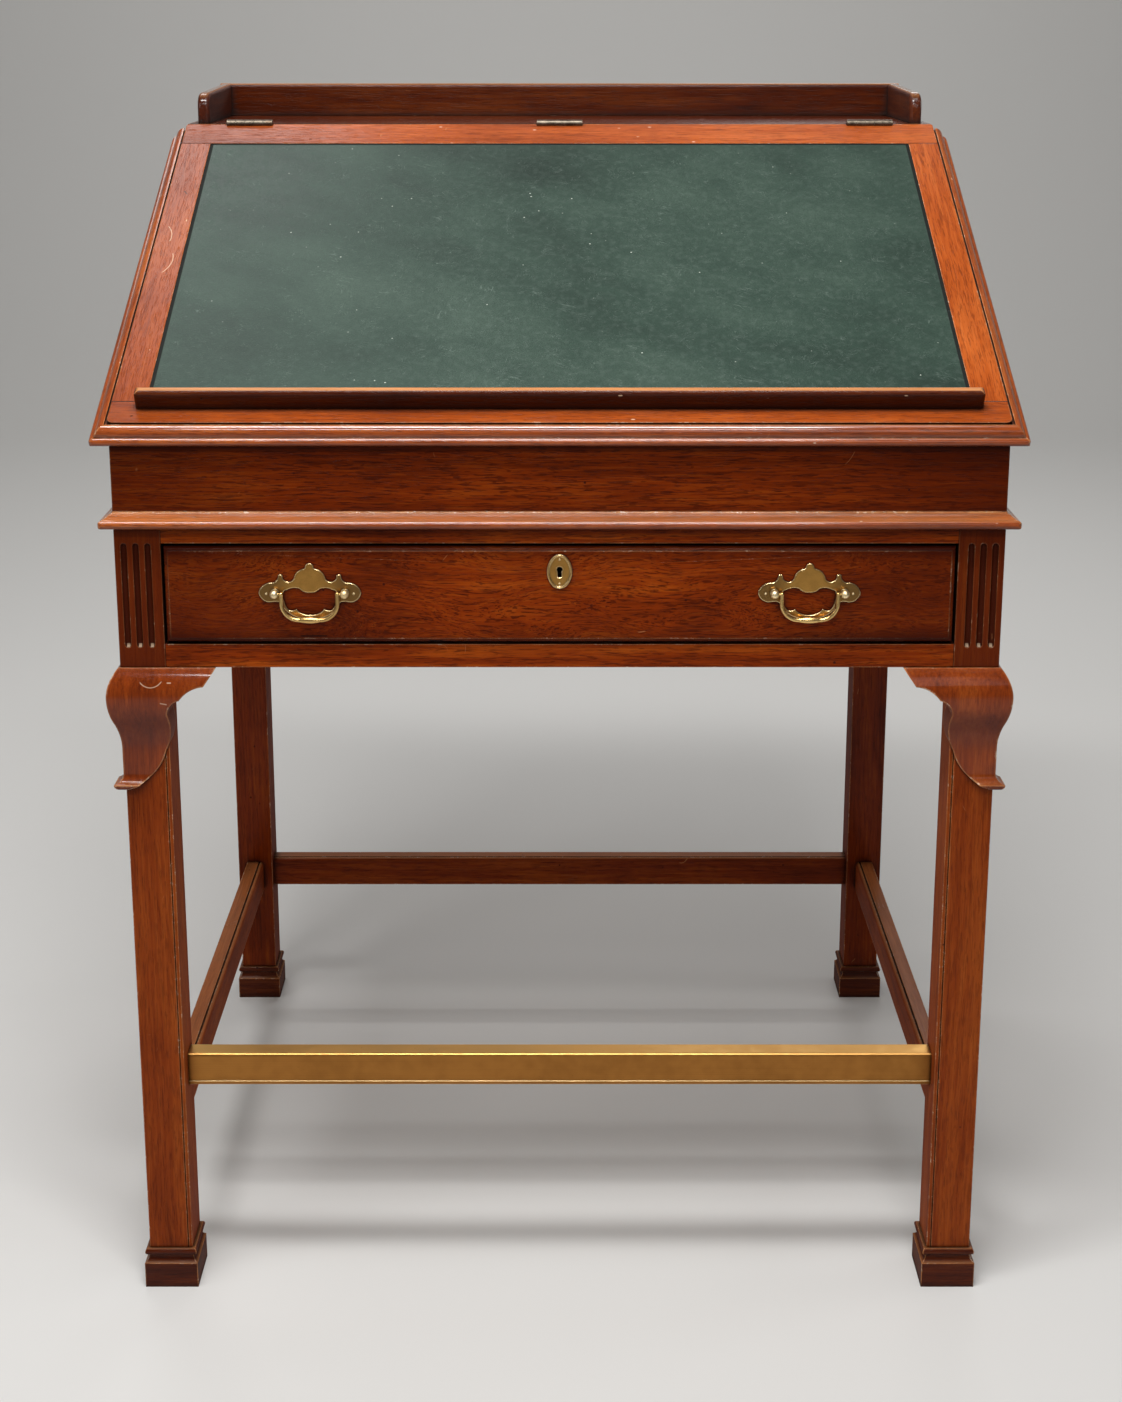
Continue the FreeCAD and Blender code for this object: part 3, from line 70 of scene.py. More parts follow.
class Wire:
    """A socket in a material.

    Arithmetic on wires adds Math nodes, and add() makes any other node.
    """

    def __init__(self, tree, socket=None):
        self.tree = tree
        self.socket = socket

    def add(self, kind, settings=None, inputs=None, output=0):
        """Add a node, apply its settings, fill its sockets and give back one of its outputs."""
        node = self.tree.nodes.new(kind)
        for name, setting in (settings or {}).items():
            if name == "stops":
                ramp = node.color_ramp.elements
                while len(ramp) < len(setting):
                    ramp.new(0.5)
                for element, (place, colour) in zip(ramp, setting):
                    element.position = place
                    element.color = colour
            else:
                setattr(node, name, setting)
        for name, given in (inputs or {}).items():
            if isinstance(given, Wire):
                self.tree.links.new(given.socket, node.inputs[name])
            else:
                node.inputs[name].default_value = given
        return Wire(self.tree, node.outputs[output]) if node.outputs else node

    def maths(self, operation, first, second):
        return self.add("ShaderNodeMath", {"operation": operation}, {0: first, 1: second})

    def __add__(self, other):
        return self.maths("ADD", self, other)

    def __sub__(self, other):
        return self.maths("SUBTRACT", self, other)

    def __mul__(self, other):
        return self.maths("MULTIPLY", self, other)

    def __radd__(self, other):
        return self.maths("ADD", other, self)

    def __rsub__(self, other):
        return self.maths("SUBTRACT", other, self)

    def __rmul__(self, other):
        return self.maths("MULTIPLY", other, self)

    def size(self):
        return self.add("ShaderNodeMath", {"operation": "ABSOLUTE"}, {0: self})

    def step(self, low, high):
        """A soft step from 0 at low to 1 at high; it falls where low is above high."""
        rising = low < high
        span = {"From Min": min(low, high), "From Max": max(low, high)}
        span.update({"To Min": 0.0 if rising else 1.0, "To Max": 1.0 if rising else 0.0})
        return self.add("ShaderNodeMapRange", {"interpolation_type": "SMOOTHSTEP"},
                        {"Value": self, **span})

    def between(self, low, full_low, full_high, high):
        """A mask that is 1 from full_low to full_high and fades to 0 at low and at high."""
        return self.step(low, full_low)*self.step(high, full_high)

    def near(self, middle, reach, full):
        """A mask that is 1 within full of the middle and fades to 0 at reach."""
        return (self - middle).size().step(reach, full)

    def axes(self):
        split = self.tree.nodes.new("ShaderNodeSeparateXYZ")
        self.tree.links.new(self.socket, split.inputs[0])
        return [Wire(self.tree, output) for output in split.outputs]

    def turned(self, turn=(0, 0, 0), scale=(1, 1, 1)):
        """These coordinates turned and then stretched, by two Mapping nodes."""
        point = {"vector_type": "POINT"}
        straight = self.add("ShaderNodeMapping", point, {"Vector": self, "Rotation": turn})
        return self.add("ShaderNodeMapping", point, {"Vector": straight, "Scale": scale})

    def noise(self, scale=1.0, detail=3.0, rough=0.5, warp=0.0):
        inputs = {"Vector": self, "Scale": scale, "Detail": detail,
                  "Roughness": rough, "Distortion": warp}
        return self.add("ShaderNodeTexNoise", {"noise_dimensions": "3D"}, inputs)

    def cells(self, scale, feature="F1"):
        inputs = {"Vector": self, "Scale": scale}
        return self.add("ShaderNodeTexVoronoi", {"feature": feature}, inputs, output="Distance")

    def ramp(self, *stops):
        shades = [(place, (*colour, 1.0)) for place, colour in stops]
        return self.add("ShaderNodeValToRGB", {"stops": shades}, {"Fac": self})

    def mix(self, first, second):
        """Two colours mixed by this mask."""
        first, second = [shade if isinstance(shade, Wire) else (*shade, 1.0)
                         for shade in (first, second)]
        settings = {"data_type": "RGBA", "clamp_factor": True}
        inputs = {MIX_FACTOR: self, MIX_FIRST: first, MIX_SECOND: second}
        return self.add("ShaderNodeMix", settings, inputs, output=MIX_RESULT)


class Finish:
    """A material under way: its coordinates, its masks for edges, hollows and faces, its shader."""

    def __init__(self, name, edge=2.2*MM, crevice=12*MM):
        self.material = bpy.data.materials.new(name)
        self.material.use_nodes = True
        tree = self.material.node_tree
        tree.nodes.clear()
        self.wire = Wire(tree)
        self.place = self.wire.add("ShaderNodeTexCoord", output="Object")
        self.true_normal = self.wire.add("ShaderNodeNewGeometry", output="Normal")
        self.soft_normal = self.softened(edge)
        across, _, rise = self.true_normal.axes()
        # Masks of faces that look up and down; colours use them for painted light and painted shade
        self.upward = rise.step(0.55, 0.90)
        self.underside = rise.step(-0.10, -0.60)
        self.inward = (self.place.axes()[0]*across).step(-0.05, -0.20)
        # A mask of the hollows by ambient occlusion; colours use it for painted shade
        openness = self.wire.add("ShaderNodeAmbientOcclusion", {"samples": EDGE_SAMPLES},
                                 {"Distance": crevice}, output="AO")
        self.crevice = openness.step(0.92, 0.42)
        self.edge = self.flatness(self.soft_normal).step(0.99, 0.86)*openness.step(0.50, 0.80)

    def softened(self, radius):
        """The normal that the surface would have with its edges rounded."""
        return self.wire.add("ShaderNodeBevel", {"samples": EDGE_SAMPLES}, {"Radius": radius})

    def flatness(self, normal):
        """How far a softened normal agrees with the true one; 1 away from all edges."""
        return self.wire.add("ShaderNodeVectorMath", {"operation": "DOT_PRODUCT"},
                             {0: normal, 1: self.true_normal}, output="Value")

    def finish(self, colour, roughness, height, depth, metallic=0.0, polish=None):
        """Join the colour, roughness and relief to one Principled shader."""
        relief = {"Height": height, "Normal": self.soft_normal,
                  "Distance": depth, "Strength": 1.0}
        normal = self.wire.add("ShaderNodeBump", inputs=relief)
        inputs = {"Base Color": colour, "Roughness": roughness, "Metallic": metallic,
                  "Normal": normal, **(polish or {})}
        shader = self.wire.add("ShaderNodeBsdfPrincipled", inputs=inputs)
        self.wire.add("ShaderNodeOutputMaterial", inputs={"Surface": shader})
        return self.material


# Woods

# Turns that bring the grain of a board along X; the one across the lid also lays the lid level
ALONG_X = (0, 0, 0)
ALONG_Y = (0, 0, -math.pi/2)
ALONG_Z = (0, math.pi/2, 0)
ACROSS_LID = (-SLOPE, 0, 0)
UP_LID = (-SLOPE, 0, -math.pi/2)

# Slants that keep dents and scratches off the directions of the boards
DENT_TURN = (0.4, 0.2, 0.9)
SCRATCH_TURN = (0.3, 0.2, 0.5)


def darker(tone, share):
    return tuple(share*part for part in tone)


# The dark, middle and light tone of each mahogany
CASE_TONES = ((0.046, 0.0046, 0.0005), (0.160, 0.0195, 0.0011), (0.300, 0.0590, 0.0045))
FIGURED_TONES = ((0.050, 0.0050, 0.0005), (0.212, 0.0260, 0.0012), (0.410, 0.0830, 0.0060))
DARK_TONES = ((0.024, 0.0028, 0.0005), (0.078, 0.0110, 0.0013), (0.170, 0.0350, 0.0050))
STAND_TONES = ((0.078, 0.0090, 0.0010), (0.220, 0.0340, 0.0032), (0.350, 0.0760, 0.0090))
LID_TONES = ((0.125, 0.0180, 0.0030), (0.365, 0.0690, 0.0095), (0.550, 0.1350, 0.0250))
MOULDING_TONES = ((0.095, 0.0130, 0.0016), (0.300, 0.0560, 0.0070), (0.480, 0.1300, 0.0220))
# The gallery's tones, the dark tones made darker: partly painted shade
GALLERY_SHADED_TONES = tuple(darker(tone, 0.8) for tone in DARK_TONES)
# Pale tone of rubbed edges and scratches, also painted light on edges and tops
RUBBED_AND_LIT = (0.62, 0.260, 0.092)
# Near-black of seams and marks, also painted shade in the hollows
GRIME_AND_SHADE = (0.008, 0.0022, 0.0008)
# Pale tone of nicks and chips, also painted highlights at the flute ends
NICK_AND_GLINT = (0.80, 0.58, 0.39)

# Patterns of the grain, in repeats per metre along it and across it
DRIFT = (3.0, 9.0, 9.0)
RIBBON = (1.8, 30, 30)
STREAK = (9, 250, 250)
PORE = (45, 850, 850)
DASH = (48, 390, 390)
FLAME = (16, 330, 330)
WOOD_RELIEF = 0.22*MM
LACQUER_ROUGHNESS = 0.09


def mahogany(name, turn, tones, swirl=0.012, wear_and_edge_light=1.0, gloss=0.13, shine=0.09, coat=0.0,
             pores=0.50, cloudy=0.30, lit_top=0.0, arris=2.2*MM, nicked=0.0,
             marks=None, scrapes_and_glints=None, seams=None, borders=None):
    """Polished mahogany, with figure, streaks and pores along the grain, and signs of use.

    The last four are functions that give the masks of one piece: dark marks, pale scrapes and
    painted highlights, seams with the flush edges beside them, and darker borders, partly painted
    shade.
    """
    wood = Finish(name, edge=arris)
    dark, middle, light = tones
    deep = darker(dark, 0.3)

    # Figure along the grain
    drift = wood.place.turned(turn, DRIFT).noise(detail=2.0) - 0.5
    drift = wood.wire.add("ShaderNodeCombineXYZ",
                          inputs={"X": 0.0, "Y": drift*swirl, "Z": drift*swirl})
    grain = wood.place.turned(turn)
    grain = wood.wire.add("ShaderNodeVectorMath", {"operation": "ADD"}, {0: grain, 1: drift})
    ribbon = grain.turned(scale=RIBBON).noise(warp=0.5)
    streak = grain.turned(scale=STREAK).noise(detail=4.0, rough=0.62)
    pore = grain.turned(scale=PORE).noise(detail=2.0, warp=0.3).step(0.54, 0.64)
    dash = grain.turned(scale=DASH).noise(detail=2.0, warp=0.7).step(0.57, 0.64)
    flame = grain.turned(scale=FLAME).noise(detail=2.0).step(0.55, 0.72)
    cloud = wood.place.noise(4.0)
    tone = ribbon*0.34 + streak*(0.66 - cloudy) + cloud*cloudy
    colour = tone.ramp((0.32, dark), (0.50, middle), (0.68, light))
    colour = (flame*0.22).mix(colour, light)
    colour = (pore*pores).mix(colour, deep)
    colour = (dash*pores).mix(colour, dark)

    # Patina, painted shade on the undersides, darker borders, painted light on the tops
    patina = wood.place.noise(13.0, detail=4.0, rough=0.6).step(0.50, 0.74)
    colour = (patina*0.28).mix(colour, dark)
    # Painted shade: faces that look down are made darker
    colour = (wood.underside*0.55).mix(colour, dark)
    # Darker borders; on the lid, the knees and in the flutes this is painted shade
    shade = 0.0
    if borders:
        shade = borders(wood)
        colour = (shade*0.55).mix(colour, dark)
    # Painted light: faces that look up are made paler
    if lit_top:
        colour = (wood.upward*(0.45 + streak*0.8)*lit_top).mix(colour, RUBBED_AND_LIT)

    # Rubbed and chipped edges, partly painted highlight; painted shade and grime in the corners
    rub = wood.place.noise(34.0).step(0.38, 0.62)
    chip = wood.place.noise(170.0, rough=0.6).step(0.55, 0.63)
    seam, flush = seams(wood) if seams else (0.0, 0.0)
    edge = wood.edge*(1.0 - flush)*(1.0 - shade*0.5)*wear_and_edge_light
    # Rubbed edges, partly painted highlight on the arrises
    colour = (edge*(0.30 + rub*0.45)).mix(colour, RUBBED_AND_LIT)
    colour = (edge*rub*chip).mix(colour, NICK_AND_GLINT)
    # Painted shade, with some grime, in the corners, gaps and hollows
    colour = (wood.crevice*0.92).mix(colour, GRIME_AND_SHADE)

    # Nicks, scratches, dents and the marks of this piece
    nick = 0.0
    if nicked:
        nick = wood.place.turned(turn, (0.45, 1, 1)).cells(48.0).step(0.065, 0.030)
        nick = nick*wood.place.noise(14.0).step(0.52 - nicked, 0.58 - nicked)
        colour = (nick*0.60*wear_and_edge_light).mix(colour, NICK_AND_GLINT)
    scratch = wood.place.turned(SCRATCH_TURN, (1, 3.5, 1)).noise(11.0, detail=1.0)
    scratch = scratch.near(0.5, 0.0045, 0.001)*wood.place.noise(27.0).step(0.66, 0.72)
    colour = (scratch*0.35*wear_and_edge_light).mix(colour, RUBBED_AND_LIT)
    dent = wood.place.turned(DENT_TURN).cells(40.0).step(0.080, 0.030)
    dent = dent*wood.place.noise(9.0).step(0.50, 0.58)
    colour = (dent*0.80).mix(colour, deep)
    if seams:
        colour = (seam*0.85).mix(colour, GRIME_AND_SHADE)
    # Pale scrapes; on the legs, painted highlights at the lower ends of the flutes
    if scrapes_and_glints:
        colour = (scrapes_and_glints(wood)*0.45).mix(colour, NICK_AND_GLINT)
    if marks:
        colour = marks(wood).mix(colour, GRIME_AND_SHADE)

    # Relief and polish; faces that look to the middle of the desk are dull
    wave = wood.place.noise(60.0, detail=2.0)
    height = (streak*0.12 - pore*0.40 - dent*2.0 - nick*1.4 - scratch*0.5 - edge*chip*1.6
              + wave*0.8)
    roughness = gloss + streak*0.10 + wood.crevice*0.35 + wood.place.noise(24.0)*0.08
    roughness = roughness + patina*0.06 + wood.inward*0.45
    lacquer = (1.0 - wood.inward)*(1.0 - wood.underside*0.7)*coat if coat else 0.0
    polish = {"Specular IOR Level": shine, "Coat Weight": lacquer,
              "Coat Roughness": LACQUER_ROUGHNESS}
    return wood.finish(colour, roughness, height, WOOD_RELIEF, polish=polish)


# Masks for single pieces of wood

# How far a dark seam, and the flush edge beside it, reach from the joint, faded and full
SEAM = (1.0*MM, 0.4*MM)
FLUSH = (4.5*MM, 3.0*MM)

# Flutes beside the drawer
FLUTE_PITCH = 13*MM
FLUTE_SHIFT = 2*MM
FLUTE_STOP = 1.8*MM

# Marks on the lid, in metres across it and up its slope
# A scrape is an arc with a centre and a radius, and four places where it fades in and out
STILE_SCRAPES = (
    ((-0.5084, 0.4894), 43*MM, (0.479, 0.482, 0.511, 0.514)),
    ((-0.5037, 0.4415), 46.8*MM, (0.413, 0.416, 0.452, 0.456)))
STILE_NICK = (-0.4618, 0.5886)
NICK_SLANT = 0.6
LID_SHADE = (-0.26, -0.44)

# Marks on the left knee and the drawer, in X and Z
KNEE_ARC = (-0.4477, 0.7600)
KNEE_ARC_RADIUS = 14.5*MM
KNEE_ARC_TOP = (0.7525, 0.7510)
KNEE_ARC_LEFT = (-0.460, -0.458)
KNEE_DASH = (-0.4274, 0.7504)
KNEE_STROKE = (-0.4339, 0.7273)
STROKE_SLANT = 0.2
DRAWER_CHIP = -0.135
DRAWER_CRACK = (-0.268, front_low.z + 7.6*MM)


def darker_borders(name, side, top):
    """A mask that darkens a board towards its ends and its long edges."""
    low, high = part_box(name)
    middle, half = (low.z + high.z)/2, (high.z - low.z)/2

    def borders(wood):
        x, _, z = wood.place.axes()
        across = x.size() + wood.place.noise(6.0)*(80*MM)
        rise = (z - middle).size() + wood.place.noise(9.0)*(20*MM)
        return across.step(high.x - side, high.x + 40*MM) + rise.step(half - top, half + 12*MM)
    return borders


def beside_drawer(wood):
    """A mask for the upper part of a leg, where the polish has gone dark, and for painted shade in
    its flutes.
    """
    x, y, z = wood.place.axes()
    upper = z.step(knee_high.z - 1.5*MM, knee_high.z + 1.5*MM)
    within = x.size().near(leg_middle, 24*MM, 22*MM)
    hollow = y.between(*(leg_low.y + depth for depth in (0.5*MM, 1.6*MM, 6*MM, 8*MM)))
    # Painted shade in the flutes, on top of the darker upper leg
    return upper*1.3 + upper*within*hollow*0.6


def flute_stop_glints(wood):
    """Painted highlights: light spots at the lower ends of the flutes."""
    x, y, z = wood.place.axes()
    height = z.near(rail_high.z - FLUTE_STOP, 2.4*MM, 1.2*MM)
    front = y.step(leg_low.y + 6*MM, leg_low.y + 5*MM)
    spots = [x.size().near(leg_middle + FLUTE_SHIFT + off, 2.2*MM, 1.2*MM)
             for off in (-FLUTE_PITCH, 0, FLUTE_PITCH)]
    return sum(spots)*height*front


def knee_shade(wood):
    """A mask for painted shade, a darker band round the middle of a knee."""
    z = wood.place.axes()[2] + wood.place.noise(30.0)*(20*MM)
    rise = knee_high.z - knee_low.z
    return z.between(*(knee_low.z + share*rise for share in (0.32, 0.48, 0.64, 0.80)))*0.7


def leg_seams(wood):
    """The dark seams, and the flush edges beside them, where the drawer's rails meet the legs."""
    across = wood.place.axes()[0].size()
    return across.near(leg_low.x, *SEAM), across.near(leg_low.x, *FLUSH)


def lid_seams(wood):
    """The dark seams, and the flush edges beside them, where the lid's stiles meet its rails."""
    across, along, _ = wood.place.turned(ACROSS_LID).axes()
    outside = across.size().step(leather_high.x - 0.5*MM, leather_high.x + 0.5*MM)
    return [outside*(along.near(leather_near, *reach) + along.near(leather_far, *reach))
            for reach in (SEAM, FLUSH)]


def lid_shade(wood):
    """A mask for painted shade along the left and the near edge of the lid."""
    across, along, _ = wood.place.turned(ACROSS_LID).axes()
    across = across + wood.place.noise(12.0)*(60*MM)
    near = along.step(leather_near + 40*MM, leather_near - 40*MM)
    return across.step(*LID_SHADE)*0.75 + near*0.35


def arc(wood, across, along, centre, radius):
    """A thin line round a circle, in two coordinates of a face."""
    spot = wood.wire.add("ShaderNodeCombineXYZ", inputs={"X": across, "Y": along})
    off = wood.wire.add("ShaderNodeVectorMath", {"operation": "DISTANCE"},
                        {0: spot, 1: (*centre, 0)}, output="Value")
    return off.near(radius, 0.8*MM, 0.3*MM)


def stile_scrapes(wood):
    """Curved scrapes on the left stile of the lid."""
    across, along, _ = wood.place.turned(ACROSS_LID).axes()
    return sum(arc(wood, across, along, centre, radius)*along.between(*span)
               for centre, radius, span in STILE_SCRAPES)


def stile_nick(wood):
    """A dark nick near the top of the left stile."""
    across, along, _ = wood.place.turned(ACROSS_LID).axes()
    x, rise = STILE_NICK
    slant = across + (along - rise)*NICK_SLANT
    return slant.near(x, 1.0*MM, 0.5*MM)*along.near(rise, 4.2*MM, 3.4*MM)*0.8


def knee_scrapes(wood):
    """A curved scrape and two short ones on the left knee."""
    x, _, z = wood.place.axes()
    curve = arc(wood, x, z, KNEE_ARC, KNEE_ARC_RADIUS)
    curve = curve*z.step(*KNEE_ARC_TOP)*x.step(*KNEE_ARC_LEFT)
    dash = x.near(KNEE_DASH[0], 2.6*MM, 2.0*MM)*z.near(KNEE_DASH[1], 0.9*MM, 0.5*MM)
    slant = z + (x - KNEE_STROKE[0])*STROKE_SLANT
    stroke = x.near(KNEE_STROKE[0], 4.0*MM, 3.2*MM)*slant.near(KNEE_STROKE[1], 0.9*MM, 0.4*MM)
    return curve + dash + stroke


def drawer_marks(wood):
    """A chip in the drawer's lower edge and a short crack above it."""
    x, _, z = wood.place.axes()
    ragged = z - wood.place.noise(220.0)*(2.0*MM)
    chip = x.near(DRAWER_CHIP, 8.5*MM, 6.0*MM)
    chip = chip*ragged.step(front_low.z + 2.0*MM, front_low.z + 0.8*MM)
    crack = x.near(DRAWER_CRACK[0], 16*MM, 13*MM)*z.near(DRAWER_CRACK[1], 0.9*MM, 0.4*MM)
    return chip + crack


# Bare wood

BARE_TONES = ((0.17, 0.086, 0.036), (0.33, 0.19, 0.092), (0.46, 0.30, 0.16))
BARE_PORE = (0.09, 0.045, 0.02)
BARE_STAIN = (0.12, 0.058, 0.025)
BARE_EDGE = (0.50, 0.35, 0.20)
BARE_GRIME_AND_SHADE = (0.02, 0.011, 0.006)
BARE_RING = (1.2, 34, 34)
BARE_STREAK = (9, 260, 260)
BARE_GRAIN = (45, 620, 620)


def drawer_wood(name, turn):
    """The pale bare wood of the drawer's sides, the runners and the floor."""
    wood = Finish(name)
    dark, middle, light = BARE_TONES
    grain = wood.place.turned(turn)
    ring = grain.turned(scale=BARE_RING).noise(warp=0.5)
    streak = grain.turned(scale=BARE_STREAK).noise()
    pore = grain.turned(scale=BARE_GRAIN).noise().step(0.60, 0.70)
    stain = wood.place.noise(5.0).step(0.50, 0.72)
    colour = (ring*0.55 + streak*0.45).ramp((0.3, dark), (0.52, middle), (0.74, light))
    colour = (pore*0.5).mix(colour, BARE_PORE)
    colour = (stain*0.35).mix(colour, BARE_STAIN)
    colour = (wood.edge*0.5).mix(colour, BARE_EDGE)
    # Painted shade, with grime, in the corners
    colour = (wood.crevice*0.75).mix(colour, BARE_GRIME_AND_SHADE)
    return wood.finish(colour, 0.58 + streak*0.2, streak*0.4 - pore*0.5, 0.25*MM,
                       polish={"Specular IOR Level": 0.3})


# Leather, brass and steel

HIDE_TONES = ((0.013, 0.027, 0.019), (0.026, 0.050, 0.036), (0.046, 0.077, 0.057))
HIDE_GRAIN = (0.012, 0.021, 0.016)
HIDE_SCUFF = (0.22, 0.28, 0.24)
HIDE_SPECK = (0.50, 0.54, 0.47)
HIDE_HAZE = (0.11, 0.15, 0.125)
HIDE_RIM = (0.004, 0.004, 0.003)
# Directions of the scuffs in radians, and their repeats per metre
SCUFFS = ((0.4, 40.0), (1.7, 52.0), (2.8, 64.0), (0.9, 95.0), (2.2, 120.0))


def green_leather(name):
    """The writing skin: fine grain, cloudy fading, scuffs and a dark line round its edge."""
    hide = Finish(name, edge=0.4*MM, crevice=4*MM)
    dark, middle, light = HIDE_TONES
    flat = hide.place.turned(ACROSS_LID)
    cloud = flat.noise(3.4, detail=4.0, rough=0.55)
    patch = flat.turned((0, 0, 0.5), (1.0, 2.0, 1.0)).noise(7.5, detail=4.0, rough=0.6)
    pebble = flat.cells(560.0, "SMOOTH_F1")
    fine = flat.noise(1300.0, detail=2.0)
    colour = (cloud*0.55 + patch*0.45).ramp((0.32, dark), (0.50, middle), (0.68, light))
    colour = (pebble.step(0.30, 0.62)*0.25).mix(colour, HIDE_GRAIN)

    lines = []
    for turn, repeats in SCUFFS:
        line = flat.turned((0, 0, turn), (1, 4.0, 1)).noise(repeats, detail=1.0, warp=0.4)
        broken = flat.turned((0, 0, turn)).noise(repeats*0.7).step(0.56, 0.68)
        lines.append(line.near(0.5, 0.014, 0.002)*broken)
    scuff = sum(lines)
    speck = flat.cells(46.0).step(0.060, 0.025)*flat.noise(21.0).step(0.44, 0.54)
    haze = flat.noise(120.0, detail=4.0).step(0.45, 0.75)
    colour = (scuff*0.22).mix(colour, HIDE_SCUFF)
    colour = (speck*0.8).mix(colour, HIDE_SPECK)
    colour = (haze*0.14).mix(colour, HIDE_HAZE)

    across, along, _ = flat.axes()
    rim = across.size().step(leather_high.x - 4.6*MM, leather_high.x - 3.4*MM)
    rim = rim + along.step(leather_far - 4.4*MM, leather_far - 3.0*MM)
    rim = rim + along.step(leather_near + 3.2*MM, leather_near + 1.8*MM)
    colour = (rim*0.95).mix(colour, HIDE_RIM)
    height = pebble*0.8 + fine*0.35 - scuff*0.5 + patch*1.5
    roughness = 0.36 + cloud*0.16 + haze*0.10 + rim*0.40
    return hide.finish(colour, roughness, height, 0.12*MM, polish={"Specular IOR Level": 0.30})


# The bright and dull tone of each brass
PLATE_TONES = ((0.68, 0.360, 0.088), (0.34, 0.165, 0.040))
BAIL_TONES = ((0.82, 0.56, 0.22), (0.45, 0.27, 0.09))
POST_TONES = ((1.0, 0.82, 0.50), (0.75, 0.54, 0.26))
RAIL_TONES = ((0.37, 0.158, 0.036), (0.23, 0.095, 0.022))
BRASS_SHADE = (0.20, 0.115, 0.045)
BRASS_TOP_HIGHLIGHT = (1.0, 0.58, 0.18)
BRASS_TARNISH_AND_SHADE = (0.035, 0.018, 0.006)
BRASS_EDGE = (1.0, 0.76, 0.40)
BRASS_PIT = (0.05, 0.027, 0.010)
BRUSH_LINES = (3.0, 900.0, 900.0)
BRASS_BORDER = 4.5*MM
METAL_RELIEF = 0.05*MM


def aged_brass(name, tones, tarnished=0.6, brushed=None, smooth=0.24, lit_top=0.0, arris=1.1*MM,
               shaded=None):
    """Old brass: dark in the hollows, partly tarnish and partly painted shade, rubbed bright on the
    edges with a painted highlight, cloudy and finely scratched.
    """
    metal = Finish(name, edge=arris, crevice=5*MM)
    bright, dull = tones
    cloud = metal.place.noise(70.0, detail=4.0)
    broad = metal.place.noise(9.0)
    if brushed:
        scratch = metal.place.turned(brushed, BRUSH_LINES).noise(detail=2.0)
    else:
        scratch = metal.place.noise(800.0, detail=2.0)
    tarnish = (cloud*0.5 + broad*0.5).step(0.38, 0.68)
    border = metal.flatness(metal.softened(BRASS_BORDER)).step(0.995, 0.90)
    colour = (tarnish*tarnished).mix(bright, dull)
    colour = (border*0.35).mix(colour, darker(dull, 0.6))
    colour = (scratch.step(0.52, 0.75)*0.25).mix(colour, dull)
    if shaded:
        colour = shaded(metal).mix(colour, BRASS_SHADE)
    # Painted highlight: faces that look up are made paler
    if lit_top:
        colour = (metal.upward*lit_top).mix(colour, BRASS_TOP_HIGHLIGHT)
    # Tarnish and painted shade in the hollows
    colour = (metal.crevice*0.85).mix(colour, BRASS_TARNISH_AND_SHADE)
    # Rubbed edges with a painted highlight
    colour = (metal.edge*0.9).mix(colour, BRASS_EDGE)
    pit = metal.place.cells(240.0).step(0.16, 0.05)*metal.place.noise(40.0).step(0.56, 0.66)
    colour = (pit*0.5).mix(colour, BRASS_PIT)
    roughness = smooth + tarnish*0.14 + scratch*0.08 - metal.edge*0.06
    height = scratch*0.35 - pit*0.8 + cloud*0.3
    return metal.finish(colour, roughness, height, METAL_RELIEF, metallic=1.0)


def plate_ends(metal):
    """A mask for the dull lobes at both ends of a handle plate."""
    off = (metal.place.axes()[0].size() - handle_middle).size()
    return off.step(16*MM, 40*MM)*0.75


STEEL_TONES = ((0.070, 0.056, 0.042), (0.24, 0.195, 0.145))
STEEL_RUST = (0.10, 0.048, 0.020)
STEEL_EDGE = (0.55, 0.48, 0.36)
STEEL_GRIME_AND_SHADE = (0.010, 0.008, 0.006)


def dark_steel(name):
    """Blackened steel, with bright metal where it rubs."""
    metal = Finish(name, edge=0.7*MM, crevice=4*MM)
    dark, light = STEEL_TONES
    cloud = metal.place.noise(120.0, detail=4.0)
    rust = metal.place.noise(60.0).step(0.55, 0.70)
    colour = cloud.ramp((0.3, dark), (0.7, light))
    colour = (rust*0.5).mix(colour, STEEL_RUST)
    colour = (metal.edge*0.9).mix(colour, STEEL_EDGE)
    # Painted shade, with grime, in the hollows
    colour = (metal.crevice*0.85).mix(colour, STEEL_GRIME_AND_SHADE)
    return metal.finish(colour, 0.30 + cloud*0.20, cloud*0.5, METAL_RELIEF, metallic=0.9)


# Each piece gets its finish

def dress(material, *names):
    for name in names:
        nodes[name].data.materials.clear()
        nodes[name].data.materials.append(material)


def both(*names):
    """The left and right nodes of each name."""
    return [f"{name}_{side}" for name in names for side in ("left", "right")]


MOULDING = {"wear_and_edge_light": 1.3, "gloss": 0.05, "shine": 0.25, "coat": 0.9, "pores": 0.40,
            "lit_top": 0.12, "nicked": 0.10}
WAIST = {**MOULDING, "coat": 0.6, "lit_top": 0.30}
SLOPING_RIM = {**MOULDING, "wear_and_edge_light": 1.0, "coat": 0.5, "lit_top": 0.0}
LID = {"wear_and_edge_light": 1.1, "shine": 0.16, "pores": 0.40, "cloudy": 0.36, "nicked": 0.06,
       "seams": lid_seams, "borders": lid_shade}

